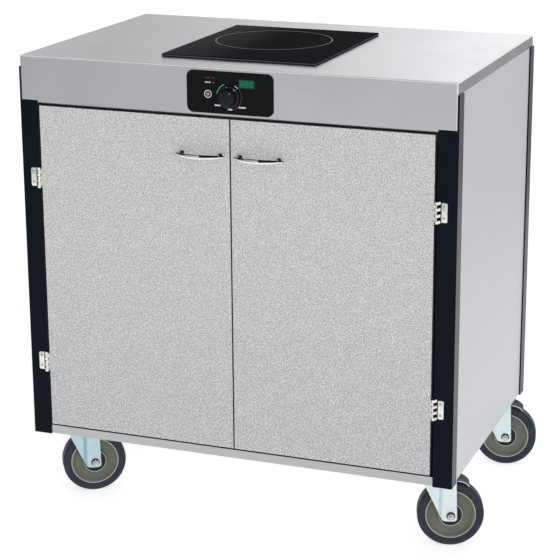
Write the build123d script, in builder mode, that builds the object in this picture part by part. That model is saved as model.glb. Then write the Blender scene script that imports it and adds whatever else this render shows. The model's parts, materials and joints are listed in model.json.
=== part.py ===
from build123d import *
import os
from math import asin, cos, degrees, hypot, radians, sin

# Mobile cooking cart, in millimetres, +Z up, its front towards -Y and its right towards +X.
# The origin is on the floor, under the middle of the box around the whole cart.

os.makedirs("parts", exist_ok=True)

# Cabinet sizes
overall_w = 863.6
worktop_d = 558.8
worktop_h = 901.7
steel_t = 1.5
fit_gap = 0.3
touch_gap = 0.4

# Worktop: a folded sheet with a deep apron in front and a short lip on the other sides
apron_h = 88.6
post_notch_h = 3.8
lip_h = 21.6
apron_return_d = 26.0
apron_hem_d = 11.0
corner_r = 2.6
top_edge_r = 2.2

# Corner posts: angles that wrap the corners of the cabinet
post_t = 3.0
post_front_w = 37.5
post_side_d = 30.0
post_proud = 0.4
post_bottom_z = 142.0
post_edge_r = 1.2
post_corner_r = 6.0

# Boards and the folded floor
board_t = 18.0
back_t = 6.0
carcass_inset = 2.6
floor_z = 161.5
floor_lip_h = 18.0
floor_proud = 0.8
floor_bend_r = 1.2
shelf_t = 18.0
shelf_top_z = 486.0
shelf_setback = 14.0
rest_leg = 24.0
rest_w = 30.0
rest_inset = 70.0
header_size = 25.4
header_gap = 3.0

# Vents and the cord gland in the back panel
vent_w = 62.0
vent_h = 7.0
vent_pitch_x = 78.0
vent_pitch_z = 15.0
vent_columns = 4
vent_rows = 4
vent_below_top = 70.0
gland_from_side = 131.8
gland_below_top = 78.0
gland_bore_r = 5.5
gland_thread_r = 9.8
gland_hex = 26.0
gland_hex_t = 5.0
gland_dome_r = 11.5
gland_dome_l = 11.0
gland_dome_round_r = 4.5

# Doors
door_t = 19.0
door_proud = 3.7
door_side_gap = 4.7
door_top_gap = 5.2
door_floor_gap = 4.0
door_middle_gap = 2.6
door_edge_r = 0.8

# Hinges
hinge_heights = (295.5, 667.5)
hinge_axis_in = 36.5
hinge_axis_proud = 5.0
knuckle_r = 3.4
knuckle_gap = 0.3
knuckles = 7
barrel_h = 40.0
leaf_h = 36.0
frame_leaf_w = 11.8
frame_leaf_t = 1.5
frame_leaf_start = 6.5
frame_neck_t = 2.5
neck_lap = 0.5
door_leaf_t = 1.1
door_leaf_d = 17.0
leaf_corner_r = 3.0
hinge_pin_r = 1.6
pin_running_gap = 0.05
pin_tip_r = 2.3
pin_tip_h = 1.2
hinge_screw_r = 1.7
hinge_screw_head_r = 2.9
hinge_screw_head_h = 0.9
hinge_screw_pitch = 21.0
hinge_screw_in = 6.0

# Handles: a bow on two short posts
handle_from_middle = 58.0
handle_below_top = 163.3
handle_l = 99.0
handle_reach = 26.0
handle_tip_reach = 6.5
handle_h = 9.0
handle_t = 4.4
handle_post_r = 3.2
handle_post_pitch = 76.2
handle_screw_r = 1.9
handle_screw_head_r = 4.0
handle_screw_head_h = 2.2

# Catches
catch_from_middle = 46.0
catch_w = 44.0
catch_h = 14.0
catch_d = 18.0
strike_w = 34.0
strike_h = 12.0
strike_t = 1.2

# Hob: glass, its gasket and the tray that hangs under it
hob_x = -16.5
hob_y = -16.2
glass_w = 309.0
glass_d = 374.0
glass_t = 4.0
glass_corner_r = 3.0
glass_edge_r = 0.8
gasket_t = 0.8
gasket_w = 5.0
gasket_inset = 1.6
cutout_inset = 9.0
cutout_corner_r = 8.0
tray_gap = 1.0
tray_t = 1.2
tray_depth = 82.0
coil_x = -28.4
coil_y = 16.6
coil_out_r = 104.0
coil_in_r = 26.0
coil_t = 4.0
coil_to_glass = 5.0
carrier_r = 112.0
carrier_t = 3.0
carrier_leg_r = 4.0
carrier_leg_reach = 66.0
fan_size = 92.0
fan_t = 25.0
fan_bore_r = 43.0
fan_foot_h = 6.0
fan_wall_t = 1.5
fan_strut_w = 4.5
fan_foot_in = 8.0
fan_foot_gap = 1.5
fan_hub_r = 18.0
fan_blade_gap = 2.0
fan_blades = 7
fan_blade_t = 1.6
fan_blade_pitch = 42.0
fan_root_lap = 2.0
fan_pin_r = 2.0
intake_slots = 9
intake_slot_w = 4.0
intake_pitch = 9.0
board_w = 236.0
board_d = 92.0
pcb_t = 1.6
pcb_foot_h = 6.0
pcb_y = -140.0
sink_w = 96.0
sink_d = 60.0
sink_h = 34.0
sink_base_t = 6.0
sink_fin_t = 1.6
sink_fins = 12
sink_x = -52.0
choke_r = 17.0
choke_h = 24.0
choke_x = 42.0
capacitor_w = 34.0
capacitor_d = 22.0
capacitor_h = 30.0
capacitor_x = 86.0

# Control panel on the apron
panel_w = 170.0
panel_h = 78.4
panel_below_top = 6.5
panel_t = 2.5
panel_corner_r = 13.0
panel_edge_r = 0.8
box_w = 140.0
box_h = 66.0
box_d = 40.0
box_t = 1.2
box_flange = 7.0
box_cutout_r = 4.5
control_pcb_back = 26.0
dial_x = -1.2
dial_below_top = 52.7
dial_r = 21.0
dial_skirt_h = 3.5
dial_body_r = 17.0
dial_body_top_r = 15.0
dial_h = 17.0
dial_gap = 0.6
dial_flute_r = 1.6
dial_flutes = 18
dial_cap_t = 5.0
dial_angle = -40.0
dial_bar_w = 7.0
dial_bar_h = 3.0
shaft_r = 3.0
shaft_hole_r = 4.6
encoder_w = 16.0
encoder_h = 9.0
display_x = 33.4
display_below_top = 27.3
display_w = 31.5
display_h = 15.5
display_t = 2.8
lamp_x = -31.7
lamp_below_top = (19.3, 27.8)
lamp_r = 1.6
lamp_l = 10.0
button_x = -42.2
button_below_top = 49.1
button_r = 8.7
button_gap = 0.3
button_proud = 1.0
button_travel = 1.2
button_stem_r = 2.2
button_flange_r = 10.2
button_flange_t = 1.2

# Casters
caster_in_x = 56.6
caster_in_y = 64.8
trail = 35.2
wheel_r = 63.5
tread_half_w = 15.9
tread_edge_r = 5.0
core_r = 48.0
core_half_w = 14.8
core_rim_t = 3.0
core_slope = 4.0
web_half_w = 10.5
hub_r = 11.0
hub_half_w = 19.8
guard_r = 21.5
guard_half_w = 18.2
axle_r = 4.8
axle_gap = 0.05
axle_nut = 15.0
axle_nut_h = 7.0
axle_tip = 3.0
leg_inner = 20.3
leg_t = 3.0
leg_bottom_drop = 10.8
leg_right = 12.5
leg_right_top = 9.8
leg_left_bottom = 18.5
leg_left_top = 56.0
leg_left_bottom_drop = 4.0
leg_round_r = 6.0
leg_spread = 2.0
spread_start = 15.0
spread_end = 25.0
crown_top_z = 139.5
crown_t = 3.0
crown_r = 28.0
race_r = 25.0
cup_r = 27.0
race_gap = 0.5
race_h = 6.0
plate_t = 4.0
plate_w = 64.0
plate_d = 92.0
plate_corner_r = 5.0
king_pin_r = 6.0
king_head_r = 10.5
king_head_h = 2.4
bolt_pitch_x = 44.0
bolt_pitch_y = 73.0
bolt_r = 3.9
bolt_hex = 13.0
bolt_head_h = 5.0
bolt_nut_h = 6.5

# Brake pedals, on the right-hand casters only
pedal_half_w = 14.5
pedal_t = 1.5
pedal_gap = 2.0
pedal_end_deg = 31.0
pedal_start_deg = 5.0
pedal_pin_x = 3.0
pedal_pin_up = 70.6
pedal_pin_r = 2.0
pedal_eye_r = 3.9
pedal_rise = 3.0
pad_t = 4.4
pad_tip_t = 1.0
pad_start = 0.16
pad_ribs = 5
pad_rib_w = 2.6
pad_rib_h = 0.8

# Where each caster stands: sign of x, sign of y, the way its wheel trails in degrees from +X, brake
casters = {
    "front_left": (-1, -1, 33.8, False),
    "front_right": (1, -1, 19.3, True),
    "back_left": (-1, 1, 24.0, False),
    "back_right": (1, 1, 12.2, True),
}

# Sizes worked out from the ones above
gland_x = overall_w / 2 - gland_from_side
half_w = overall_w / 2 - post_t
half_d = worktop_d / 2
post_face = half_d + post_proud
post_inner_x = overall_w / 2 - post_front_w
carcass_d = half_d - carcass_inset
panel_inner_x = half_w - board_t
lip_z = worktop_h - lip_h
apron_z = worktop_h - apron_h
apron_post_z = apron_z + post_notch_h
under_top_z = worktop_h - steel_t
floor_lip_z = floor_z - floor_lip_h
mount_z = floor_z - steel_t
door_face = post_face + door_proud
door_back = door_face - door_t
door_outer_x = post_inner_x - door_side_gap
door_top_z = apron_z - door_top_gap
door_bottom_z = floor_z + door_floor_gap
hinge_x = overall_w / 2 - hinge_axis_in
hinge_y = post_face + hinge_axis_proud
strike_face = door_back - strike_t
catch_face = strike_face - touch_gap
glass_bottom_z = worktop_h + gasket_t
cutout_w = glass_w - 2 * cutout_inset
cutout_d = glass_d - 2 * cutout_inset
tray_w = cutout_w - 2 * tray_gap
tray_d = cutout_d - 2 * tray_gap
tray_floor_z = glass_bottom_z - tray_depth + tray_t
panel_z = worktop_h - panel_below_top - panel_h / 2
panel_face = half_d + panel_t
dial_z = worktop_h - dial_below_top
button_z = worktop_h - button_below_top
box_back = half_d - steel_t - box_d
control_pcb_face = half_d - steel_t - control_pcb_back
caster_x = overall_w / 2 - caster_in_x
caster_y = half_d - caster_in_y
leg_outer = leg_inner + leg_t


def wheel_reach(turn):
    """How far a wheel's outside reaches along +X past its own centre."""
    return ((wheel_r - tread_edge_r) * cos(radians(turn))
            + (tread_half_w - tread_edge_r) * sin(radians(turn)) + tread_edge_r)


right_reach = max(side * caster_x + trail * cos(radians(turn)) + wheel_reach(turn)
                  for side, end, turn, brake in casters.values())
front_reach = door_face + handle_reach
back_reach = carcass_d + gland_hex_t + gland_dome_l
centre_x = (overall_w / 2 - right_reach) / 2
centre_y = (front_reach - back_reach) / 2


def level(height):
    """Horizontal plane at a height, with its origin over the middle of the cabinet."""
    return Plane(origin=(centre_x, centre_y, height))


def facing_front(depth):
    """Upright plane facing the front, its x to the right and its y up; depth is along +Y."""
    return Plane(origin=(centre_x, centre_y + depth, 0), x_dir=(1, 0, 0), z_dir=(0, -1, 0))


def facing_right(across):
    """Upright plane facing the right, its x towards the back and its y up."""
    return Plane(origin=(centre_x + across, centre_y, 0), x_dir=(0, 1, 0), z_dir=(1, 0, 0))


def keep(piece, name):
    """Label a finished piece and write it out."""
    piece.part.label = name
    export_step(piece.part, f"parts/{name}.step")


def keep_together(pieces, name):
    """Write several pieces out as one group, each still a solid of its own."""
    solids = [solid for piece in pieces for solid in piece.part.solids()]
    export_step(Compound(label=name, children=solids), f"parts/{name}.step")


# Worktop
with BuildPart() as worktop:
    with BuildSketch(level(worktop_h)):
        Rectangle(2 * half_w, worktop_d)
    extrude(amount=-lip_h)
    with BuildSketch(level(worktop_h)):
        with Locations((0, -half_d + apron_return_d / 2)):
            Rectangle(2 * half_w, apron_return_d)
    extrude(amount=-(apron_h - post_notch_h))
    with BuildSketch(level(worktop_h)):
        with Locations((0, -half_d + apron_return_d / 2)):
            Rectangle(2 * (post_inner_x - fit_gap), apron_return_d)
    extrude(amount=-apron_h)
    upright_edges = worktop.edges().filter_by(Axis.Z)
    corner_edges = [
        edge for edge in upright_edges
        if abs(abs(edge.center().X - centre_x) - half_w) < 0.01
        and abs(abs(edge.center().Y - centre_y) - half_d) < 0.01
    ]
    fillet(corner_edges, radius=corner_r)
    fillet(worktop.faces().sort_by(Axis.Z)[-1].edges(), radius=top_edge_r)
    with BuildSketch(level(under_top_z)):
        RectangleRounded(2 * (half_w - steel_t), worktop_d - 2 * steel_t, corner_r - steel_t)
    extrude(amount=-(lip_h - steel_t), mode=Mode.SUBTRACT)
    with BuildSketch(level(lip_z)):
        with Locations((0, -half_d + steel_t + apron_return_d / 2)):
            Rectangle(2 * (half_w - steel_t), apron_return_d)
    extrude(amount=-(apron_h - lip_h - steel_t), mode=Mode.SUBTRACT)
    with BuildSketch(level(apron_z)):
        with Locations((0, -half_d + apron_hem_d + apron_return_d / 2)):
            Rectangle(2 * half_w, apron_return_d)
    extrude(amount=steel_t, mode=Mode.SUBTRACT)
    with BuildSketch(level(worktop_h)):
        with Locations((hob_x, hob_y)):
            RectangleRounded(cutout_w, cutout_d, cutout_corner_r)
    extrude(amount=-steel_t, mode=Mode.SUBTRACT)
    with BuildSketch(facing_front(-half_d)):
        with Locations((0, panel_z)):
            RectangleRounded(box_w + 2 * fit_gap, box_h + 2 * fit_gap, box_cutout_r)
    extrude(amount=-steel_t, mode=Mode.SUBTRACT)
keep(worktop, "worktop")


# Corner posts
def make_post(side, end, name):
    """One corner angle; side is -1 for left and 1 for right, end is -1 for front and 1 for back."""
    flange_top = apron_post_z - fit_gap if end < 0 else lip_z - fit_gap
    mid_front = side * (overall_w / 2 - post_front_w / 2)
    mid_side = end * (post_face - post_side_d / 2)
    with BuildPart() as post:
        with BuildSketch(level(post_bottom_z)):
            with Locations((mid_front, end * (post_face - post_t / 2))):
                Rectangle(post_front_w, post_t)
        extrude(amount=flange_top - post_bottom_z)
        inner_corner = [
            edge for edge in post.edges().filter_by(Axis.Y).group_by(Axis.Z)[-1]
            if abs(abs(edge.center().X - centre_x) - post_inner_x) < 0.01
        ]
        fillet(inner_corner, radius=post_corner_r)
        with BuildSketch(level(post_bottom_z)):
            with Locations((side * (overall_w / 2 - post_t / 2), mid_side)):
                Rectangle(post_t, post_side_d)
        extrude(amount=lip_z - fit_gap - post_bottom_z)
        outer_edges = [
            edge for edge in post.edges().filter_by(Axis.Z)
            if abs(abs(edge.center().X - centre_x) - overall_w / 2) < 0.01
            and abs(abs(edge.center().Y - centre_y) - post_face) < 0.01
        ]
        fillet(outer_edges, radius=post_edge_r)
    keep(post, name)


for side, side_name in ((-1, "left"), (1, "right")):
    for end, end_name in ((-1, "front"), (1, "back")):
        make_post(side, end, f"{end_name}_{side_name}_post")


# Side panels, rebated under the worktop's lip and the apron's returns
def make_side_panel(side, name):
    """One laminated side board between the front and back posts."""
    rebate = steel_t + fit_gap
    with BuildPart() as board:
        with BuildSketch(facing_right(side * half_w)):
            with Locations((0, (floor_lip_z + under_top_z) / 2)):
                Rectangle(2 * carcass_d, under_top_z - floor_lip_z)
        extrude(amount=-side * board_t)
        with BuildSketch(facing_right(side * half_w)):
            with Locations((0, under_top_z - (lip_h - steel_t) / 2 - fit_gap / 2)):
                Rectangle(2 * carcass_d, lip_h - steel_t + fit_gap)
            with Locations((-half_d + apron_return_d / 2, (apron_post_z - fit_gap + under_top_z) / 2)):
                Rectangle(apron_return_d + 2 * fit_gap, under_top_z - apron_post_z + fit_gap)
        extrude(amount=-side * rebate, mode=Mode.SUBTRACT)
    keep(board, name)


make_side_panel(-1, "left_side_panel")
make_side_panel(1, "right_side_panel")

# Back panel, with two banks of vent slots and the hole for the cord gland
with BuildPart() as back_panel:
    with BuildSketch(facing_front(carcass_d)):
        with Locations((0, (floor_z + under_top_z) / 2)):
            Rectangle(2 * (panel_inner_x - fit_gap), under_top_z - floor_z)
        with Locations((hob_x, worktop_h - vent_below_top)):
            with GridLocations(vent_pitch_x, vent_pitch_z, vent_columns, vent_rows):
                SlotOverall(vent_w, vent_h, mode=Mode.SUBTRACT)
        with Locations((gland_x, worktop_h - gland_below_top)):
            Circle(gland_thread_r, mode=Mode.SUBTRACT)
    extrude(amount=back_t)
keep(back_panel, "back_panel")

with BuildPart() as cord_gland:
    with BuildSketch(facing_front(carcass_d)):
        with Locations((gland_x, worktop_h - gland_below_top)):
            RegularPolygon(gland_hex / 2, 6, major_radius=False)
    extrude(amount=-gland_hex_t)
    dome_plane = facing_front(carcass_d + gland_hex_t)
    with BuildSketch(dome_plane):
        with Locations((gland_x, worktop_h - gland_below_top)):
            Circle(gland_dome_r)
    extrude(amount=-gland_dome_l)
    fillet(cord_gland.faces().sort_by(Axis.Y)[-1].edges(), radius=gland_dome_round_r)
    with BuildSketch(facing_front(carcass_d)):
        with Locations((gland_x, worktop_h - gland_below_top)):
            Circle(gland_thread_r)
    extrude(amount=back_t + gland_hex_t)
    with BuildSketch(facing_front(carcass_d - back_t)):
        with Locations((gland_x, worktop_h - gland_below_top)):
            RegularPolygon(gland_hex / 2, 6, major_radius=False)
    extrude(amount=gland_hex_t)
    with BuildSketch(facing_front(carcass_d + gland_hex_t + gland_dome_l)):
        with Locations((gland_x, worktop_h - gland_below_top)):
            Circle(gland_bore_r)
    extrude(amount=back_t + 2 * gland_hex_t + gland_dome_l, mode=Mode.SUBTRACT)
keep(cord_gland, "cord_gland")

# Cabinet floor: a folded pan whose front lip shows between the posts
floor_w = 2 * (panel_inner_x - fit_gap)
floor_d = 2 * (carcass_d - fit_gap)
floor_front = carcass_d + floor_proud
with BuildPart() as floor_pan:
    with BuildSketch(level(floor_z)):
        Rectangle(floor_w, floor_d)
        with Locations((0, -floor_front / 2)):
            Rectangle(2 * (post_inner_x - fit_gap), floor_front)
    extrude(amount=-floor_lip_h)
    front_top_edge = floor_pan.faces().sort_by(Axis.Z)[-1].edges().sort_by(Axis.Y)[0]
    fillet(front_top_edge, radius=floor_bend_r)
    with BuildSketch(level(mount_z)):
        Rectangle(floor_w - 2 * steel_t, floor_d - 2 * steel_t)
        with Locations((0, -(floor_front - steel_t) / 2)):
            Rectangle(2 * (post_inner_x - fit_gap - steel_t), floor_front - steel_t)
    extrude(amount=-(floor_lip_h - steel_t), mode=Mode.SUBTRACT)
    for side, end, turn, brake in casters.values():
        with BuildSketch(level(floor_z)):
            with Locations((side * caster_x, end * caster_y)):
                with GridLocations(bolt_pitch_x, bolt_pitch_y, 2, 2):
                    Circle(bolt_r)
        extrude(amount=-steel_t, mode=Mode.SUBTRACT)
keep(floor_pan, "floor_pan")

# Shelf and the angles that it lies on
shelf_front = -door_back + shelf_setback
shelf_back = carcass_d - back_t - fit_gap
shelf_w = 2 * (panel_inner_x - fit_gap)
with BuildPart() as shelf:
    with BuildSketch(level(shelf_top_z)):
        with Locations((0, (shelf_front + shelf_back) / 2)):
            Rectangle(shelf_w, shelf_back - shelf_front)
    extrude(amount=-shelf_t)
    fillet(shelf.edges().filter_by(Axis.X).group_by(Axis.Y)[0], radius=door_edge_r)
keep(shelf, "shelf")

with BuildPart() as shelf_rests:
    for side in (-1, 1):
        for y in (shelf_front + rest_inset, shelf_back - rest_inset):
            rest_z = shelf_top_z - shelf_t
            with BuildSketch(level(rest_z)):
                with Locations((side * (panel_inner_x - rest_leg / 2), y)):
                    Rectangle(rest_leg, rest_w)
            extrude(amount=-steel_t)
            with BuildSketch(level(rest_z)):
                with Locations((side * (panel_inner_x - steel_t / 2), y)):
                    Rectangle(steel_t, rest_w)
            extrude(amount=-rest_leg)
keep(shelf_rests, "shelf_rests")

# Header tube behind the tops of the doors, and the catches under it
header_top_z = apron_z - header_gap
header_bottom_z = header_top_z - header_size
header_front = -catch_face + header_gap
with BuildPart() as header:
    with BuildSketch(facing_right(-panel_inner_x)):
        with Locations((header_front + header_size / 2, header_top_z - header_size / 2)):
            RectangleRounded(header_size, header_size, 2 * steel_t)
            RectangleRounded(
                header_size - 2 * steel_t, header_size - 2 * steel_t, steel_t, mode=Mode.SUBTRACT
            )
    extrude(amount=2 * panel_inner_x)
keep(header, "header")

with BuildPart() as door_catches:
    for side in (-1, 1):
        with BuildSketch(level(header_bottom_z)):
            with Locations((side * catch_from_middle, -catch_face + catch_d / 2)):
                Rectangle(catch_w, catch_d)
        extrude(amount=-catch_h)
    fillet(door_catches.edges().filter_by(Axis.Z), radius=steel_t)
keep(door_catches, "door_catches")


# Hinges; a leaf's knuckles are built round the axis and tied to it by a neck
def hinge_plane(side, height):
    """Level plane whose origin is a hinge axis; its x points outwards for the right-hand hinges."""
    return Plane(origin=(centre_x + side * hinge_x, centre_y - hinge_y, height))


leaf_reach = hinge_x - door_outer_x
knuckle_h = (barrel_h - (knuckles - 1) * knuckle_gap) / knuckles
knuckle_bottoms = [number * (knuckle_h + knuckle_gap) - barrel_h / 2 for number in range(knuckles)]
screw_x = frame_leaf_start + hinge_screw_in
with BuildPart() as frame_hinge_leaves:
    for side in (-1, 1):
        for height in hinge_heights:
            with BuildSketch(hinge_plane(side, height - leaf_h / 2)):
                with Locations((side * (frame_leaf_start + frame_leaf_w / 2),
                                hinge_axis_proud - frame_leaf_t / 2)):
                    Rectangle(frame_leaf_w, frame_leaf_t)
            extrude(amount=leaf_h)
            for bottom in knuckle_bottoms[::2]:
                with BuildSketch(hinge_plane(side, height + bottom)):
                    Circle(knuckle_r)
                    with Locations((side * (frame_leaf_start + neck_lap) / 2,
                                    hinge_axis_proud - frame_neck_t / 2)):
                        Rectangle(frame_leaf_start + neck_lap, frame_neck_t)
                extrude(amount=knuckle_h)
            with BuildSketch(hinge_plane(side, height - barrel_h / 2)):
                Circle(hinge_pin_r)
            extrude(amount=barrel_h, mode=Mode.SUBTRACT)
    outer_corners = [
        edge for edge in frame_hinge_leaves.edges().filter_by(Axis.Y)
        if abs(edge.center().X - centre_x) > hinge_x + frame_leaf_start + frame_leaf_w - 0.01
    ]
    fillet(outer_corners, radius=leaf_corner_r)
    for side in (-1, 1):
        with BuildSketch(facing_front(-post_face - frame_leaf_t)):
            for height in hinge_heights:
                for step in (-0.5, 0.5):
                    with Locations((side * (hinge_x + screw_x), height + step * hinge_screw_pitch)):
                        Circle(hinge_screw_r)
        extrude(amount=-frame_leaf_t, mode=Mode.SUBTRACT)
keep(frame_hinge_leaves, "frame_hinge_leaves")

with BuildPart() as hinge_pins:
    for side in (-1, 1):
        for height in hinge_heights:
            with BuildSketch(hinge_plane(side, height - barrel_h / 2 - pin_tip_h)):
                Circle(hinge_pin_r)
            extrude(amount=barrel_h + 2 * pin_tip_h)
            for bottom in (height - barrel_h / 2 - pin_tip_h, height + barrel_h / 2):
                with BuildSketch(hinge_plane(side, bottom)):
                    Circle(pin_tip_r)
                extrude(amount=pin_tip_h)
with BuildPart() as frame_hinge_screws:
    for side in (-1, 1):
        for height in hinge_heights:
            for step in (-0.5, 0.5):
                spot = (side * (hinge_x + screw_x), height + step * hinge_screw_pitch)
                with BuildSketch(facing_front(-post_face - frame_leaf_t)):
                    with Locations(spot):
                        Circle(hinge_screw_head_r)
                extrude(amount=hinge_screw_head_h, taper=20)
                with BuildSketch(facing_front(-post_face - frame_leaf_t)):
                    with Locations(spot):
                        Circle(hinge_screw_r)
                extrude(amount=-frame_leaf_t)
keep_together([hinge_pins, frame_hinge_screws], "hinge_pins_and_screws")

handle_rise = handle_reach - handle_tip_reach
handle_r = ((handle_l / 2) ** 2 + handle_rise ** 2) / (2 * handle_rise)
handle_z = worktop_h - handle_below_top
post_bow_gap = handle_r - (handle_r ** 2 - (handle_post_pitch / 2) ** 2) ** 0.5


def make_door(side, side_name):
    """A door with all that swings with it: handle, hinge leaves, screws and strike plate."""
    inner_x = door_middle_gap / 2
    width = door_outer_x - inner_x
    mid_x = side * (inner_x + width / 2)
    mid_z = (door_bottom_z + door_top_z) / 2
    strike_z = header_bottom_z - catch_h / 2
    handle_x = side * handle_from_middle
    hole_spots = [(handle_x + step * handle_post_pitch, handle_z) for step in (-0.5, 0.5)]
    with BuildPart() as door:
        with BuildSketch(facing_front(-door_face)):
            with Locations((mid_x, mid_z)):
                Rectangle(width, door_top_z - door_bottom_z)
        extrude(amount=-door_t)
        fillet(door.faces().sort_by(Axis.Y)[0].edges(), radius=door_edge_r)
        with BuildSketch(facing_front(-door_face)):
            with Locations(*hole_spots):
                Circle(handle_screw_r)
        extrude(amount=-door_t, mode=Mode.SUBTRACT)
    keep(door, f"{side_name}_door")

    with BuildPart() as handle:
        bow_plane = Plane(origin=(centre_x + handle_x, centre_y - door_face, handle_z))
        with BuildLine(bow_plane) as bow_line:
            ThreePointArc((-handle_l / 2, -handle_tip_reach + handle_t / 2),
                          (0, -handle_reach + handle_t / 2),
                          (handle_l / 2, -handle_tip_reach + handle_t / 2))
        bow_start = bow_line.line @ 0
        bow_way = bow_line.line % 0
        with BuildSketch(Plane(origin=bow_start, x_dir=(0, 0, 1), z_dir=bow_way)):
            Ellipse(handle_h / 2, handle_t / 2)
        sweep(path=bow_line.line)
        for step in (-0.5, 0.5):
            post_l = handle_reach - handle_t / 2 - post_bow_gap
            with BuildSketch(facing_front(-door_face)):
                with Locations((handle_x + step * handle_post_pitch, handle_z)):
                    Circle(handle_post_r)
            extrude(amount=post_l)
    keep(handle, f"{side_name}_door_handle")

    with BuildPart() as leaves:
        for height in hinge_heights:
            with BuildSketch(hinge_plane(side, height - leaf_h / 2)):
                with Locations((-side * (leaf_reach - door_leaf_t / 2), door_leaf_d / 2)):
                    Rectangle(door_leaf_t, door_leaf_d)
            extrude(amount=leaf_h)
            for bottom in knuckle_bottoms[1::2]:
                with BuildSketch(hinge_plane(side, height + bottom)):
                    Circle(knuckle_r)
                    with Locations((-side * (leaf_reach + neck_lap) / 2, knuckle_r / 2)):
                        Rectangle(leaf_reach - neck_lap, knuckle_r)
                extrude(amount=knuckle_h)
            with BuildSketch(hinge_plane(side, height - barrel_h / 2)):
                Circle(hinge_pin_r + pin_running_gap)
            extrude(amount=barrel_h, mode=Mode.SUBTRACT)
    keep(leaves, f"{side_name}_door_hinge_leaves")

    with BuildPart() as screws:
        for spot in hole_spots:
            with BuildSketch(facing_front(-door_back)):
                with Locations(spot):
                    Circle(handle_screw_head_r)
            extrude(amount=-handle_screw_head_h, taper=15)
            with BuildSketch(facing_front(-door_back)):
                with Locations(spot):
                    Circle(handle_screw_r)
            extrude(amount=door_t)
    with BuildPart() as strike:
        with BuildSketch(facing_front(-door_back)):
            with Locations((side * catch_from_middle, strike_z)):
                RectangleRounded(strike_w, strike_h, 2 * steel_t)
        extrude(amount=-strike_t)
    keep_together([screws, strike], f"{side_name}_door_fasteners")


make_door(-1, "left")
make_door(1, "right")


# Hob
def hob_level(height):
    """Level plane with its origin over the middle of the hob glass."""
    return Plane(origin=(centre_x + hob_x, centre_y + hob_y, height))


def coil_level(height):
    """Level plane with its origin over the middle of the cooking ring."""
    return Plane(origin=(centre_x + coil_x, centre_y + coil_y, height))


with BuildPart() as hob_glass:
    with BuildSketch(hob_level(glass_bottom_z)):
        RectangleRounded(glass_w, glass_d, glass_corner_r)
    extrude(amount=glass_t)
    fillet(hob_glass.faces().sort_by(Axis.Z)[-1].edges(), radius=glass_edge_r)
keep(hob_glass, "hob_glass")

with BuildPart() as hob_gasket:
    with BuildSketch(hob_level(worktop_h)):
        RectangleRounded(glass_w - 2 * gasket_inset, glass_d - 2 * gasket_inset, glass_corner_r)
        RectangleRounded(
            glass_w - 2 * (gasket_inset + gasket_w),
            glass_d - 2 * (gasket_inset + gasket_w),
            glass_corner_r,
            mode=Mode.SUBTRACT,
        )
    extrude(amount=gasket_t)
keep(hob_gasket, "hob_gasket")

with BuildPart() as hob_tray:
    with BuildSketch(hob_level(glass_bottom_z)):
        RectangleRounded(tray_w, tray_d, cutout_corner_r)
    extrude(amount=-tray_depth)
    with BuildSketch(hob_level(glass_bottom_z)):
        RectangleRounded(tray_w - 2 * tray_t, tray_d - 2 * tray_t, cutout_corner_r - tray_t)
    extrude(amount=-(tray_depth - tray_t), mode=Mode.SUBTRACT)
    with BuildSketch(coil_level(tray_floor_z)):
        with GridLocations(0, intake_pitch, 1, intake_slots):
            SlotOverall(fan_size - 4 * intake_slot_w, intake_slot_w)
    extrude(amount=-tray_t, mode=Mode.SUBTRACT)
keep(hob_tray, "hob_tray")

carrier_bottom_z = glass_bottom_z - coil_to_glass - coil_t - carrier_t
with BuildPart() as coil_carrier:
    with BuildSketch(coil_level(carrier_bottom_z)):
        Circle(carrier_r)
        Circle(coil_in_r / 2, mode=Mode.SUBTRACT)
    extrude(amount=carrier_t)
    with BuildSketch(coil_level(tray_floor_z)):
        with GridLocations(2 * carrier_leg_reach, 2 * carrier_leg_reach, 2, 2):
            Circle(carrier_leg_r)
    extrude(amount=carrier_bottom_z - tray_floor_z)
keep(coil_carrier, "coil_carrier")

with BuildPart() as induction_coil:
    with BuildSketch(coil_level(carrier_bottom_z + carrier_t)):
        Circle(coil_out_r)
        Circle(coil_in_r, mode=Mode.SUBTRACT)
    extrude(amount=coil_t)
keep(induction_coil, "induction_coil")

fan_bottom_z = tray_floor_z + fan_foot_h
rotor_h = fan_t - 2 * fan_wall_t - fan_foot_gap
with BuildPart() as fan_housing:
    with BuildSketch(coil_level(fan_bottom_z)):
        Rectangle(fan_size, fan_size)
        Circle(fan_bore_r, mode=Mode.SUBTRACT)
    extrude(amount=fan_t)
    with BuildSketch(coil_level(fan_bottom_z)):
        Circle(fan_hub_r)
        for turn in (0, 90):
            with Locations(Location((0, 0, 0), turn)):
                Rectangle(2 * fan_bore_r + fan_wall_t, fan_strut_w)
    extrude(amount=fan_wall_t)
    with BuildSketch(coil_level(fan_bottom_z + fan_wall_t)):
        Circle(fan_pin_r)
    extrude(amount=rotor_h - fan_wall_t)
    foot_pitch = fan_size - fan_foot_in
    with BuildSketch(coil_level(tray_floor_z)):
        with GridLocations(foot_pitch, foot_pitch, 2, 2):
            Circle(fan_foot_h / 2)
    extrude(amount=fan_foot_h)
keep(fan_housing, "fan_housing")

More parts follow.
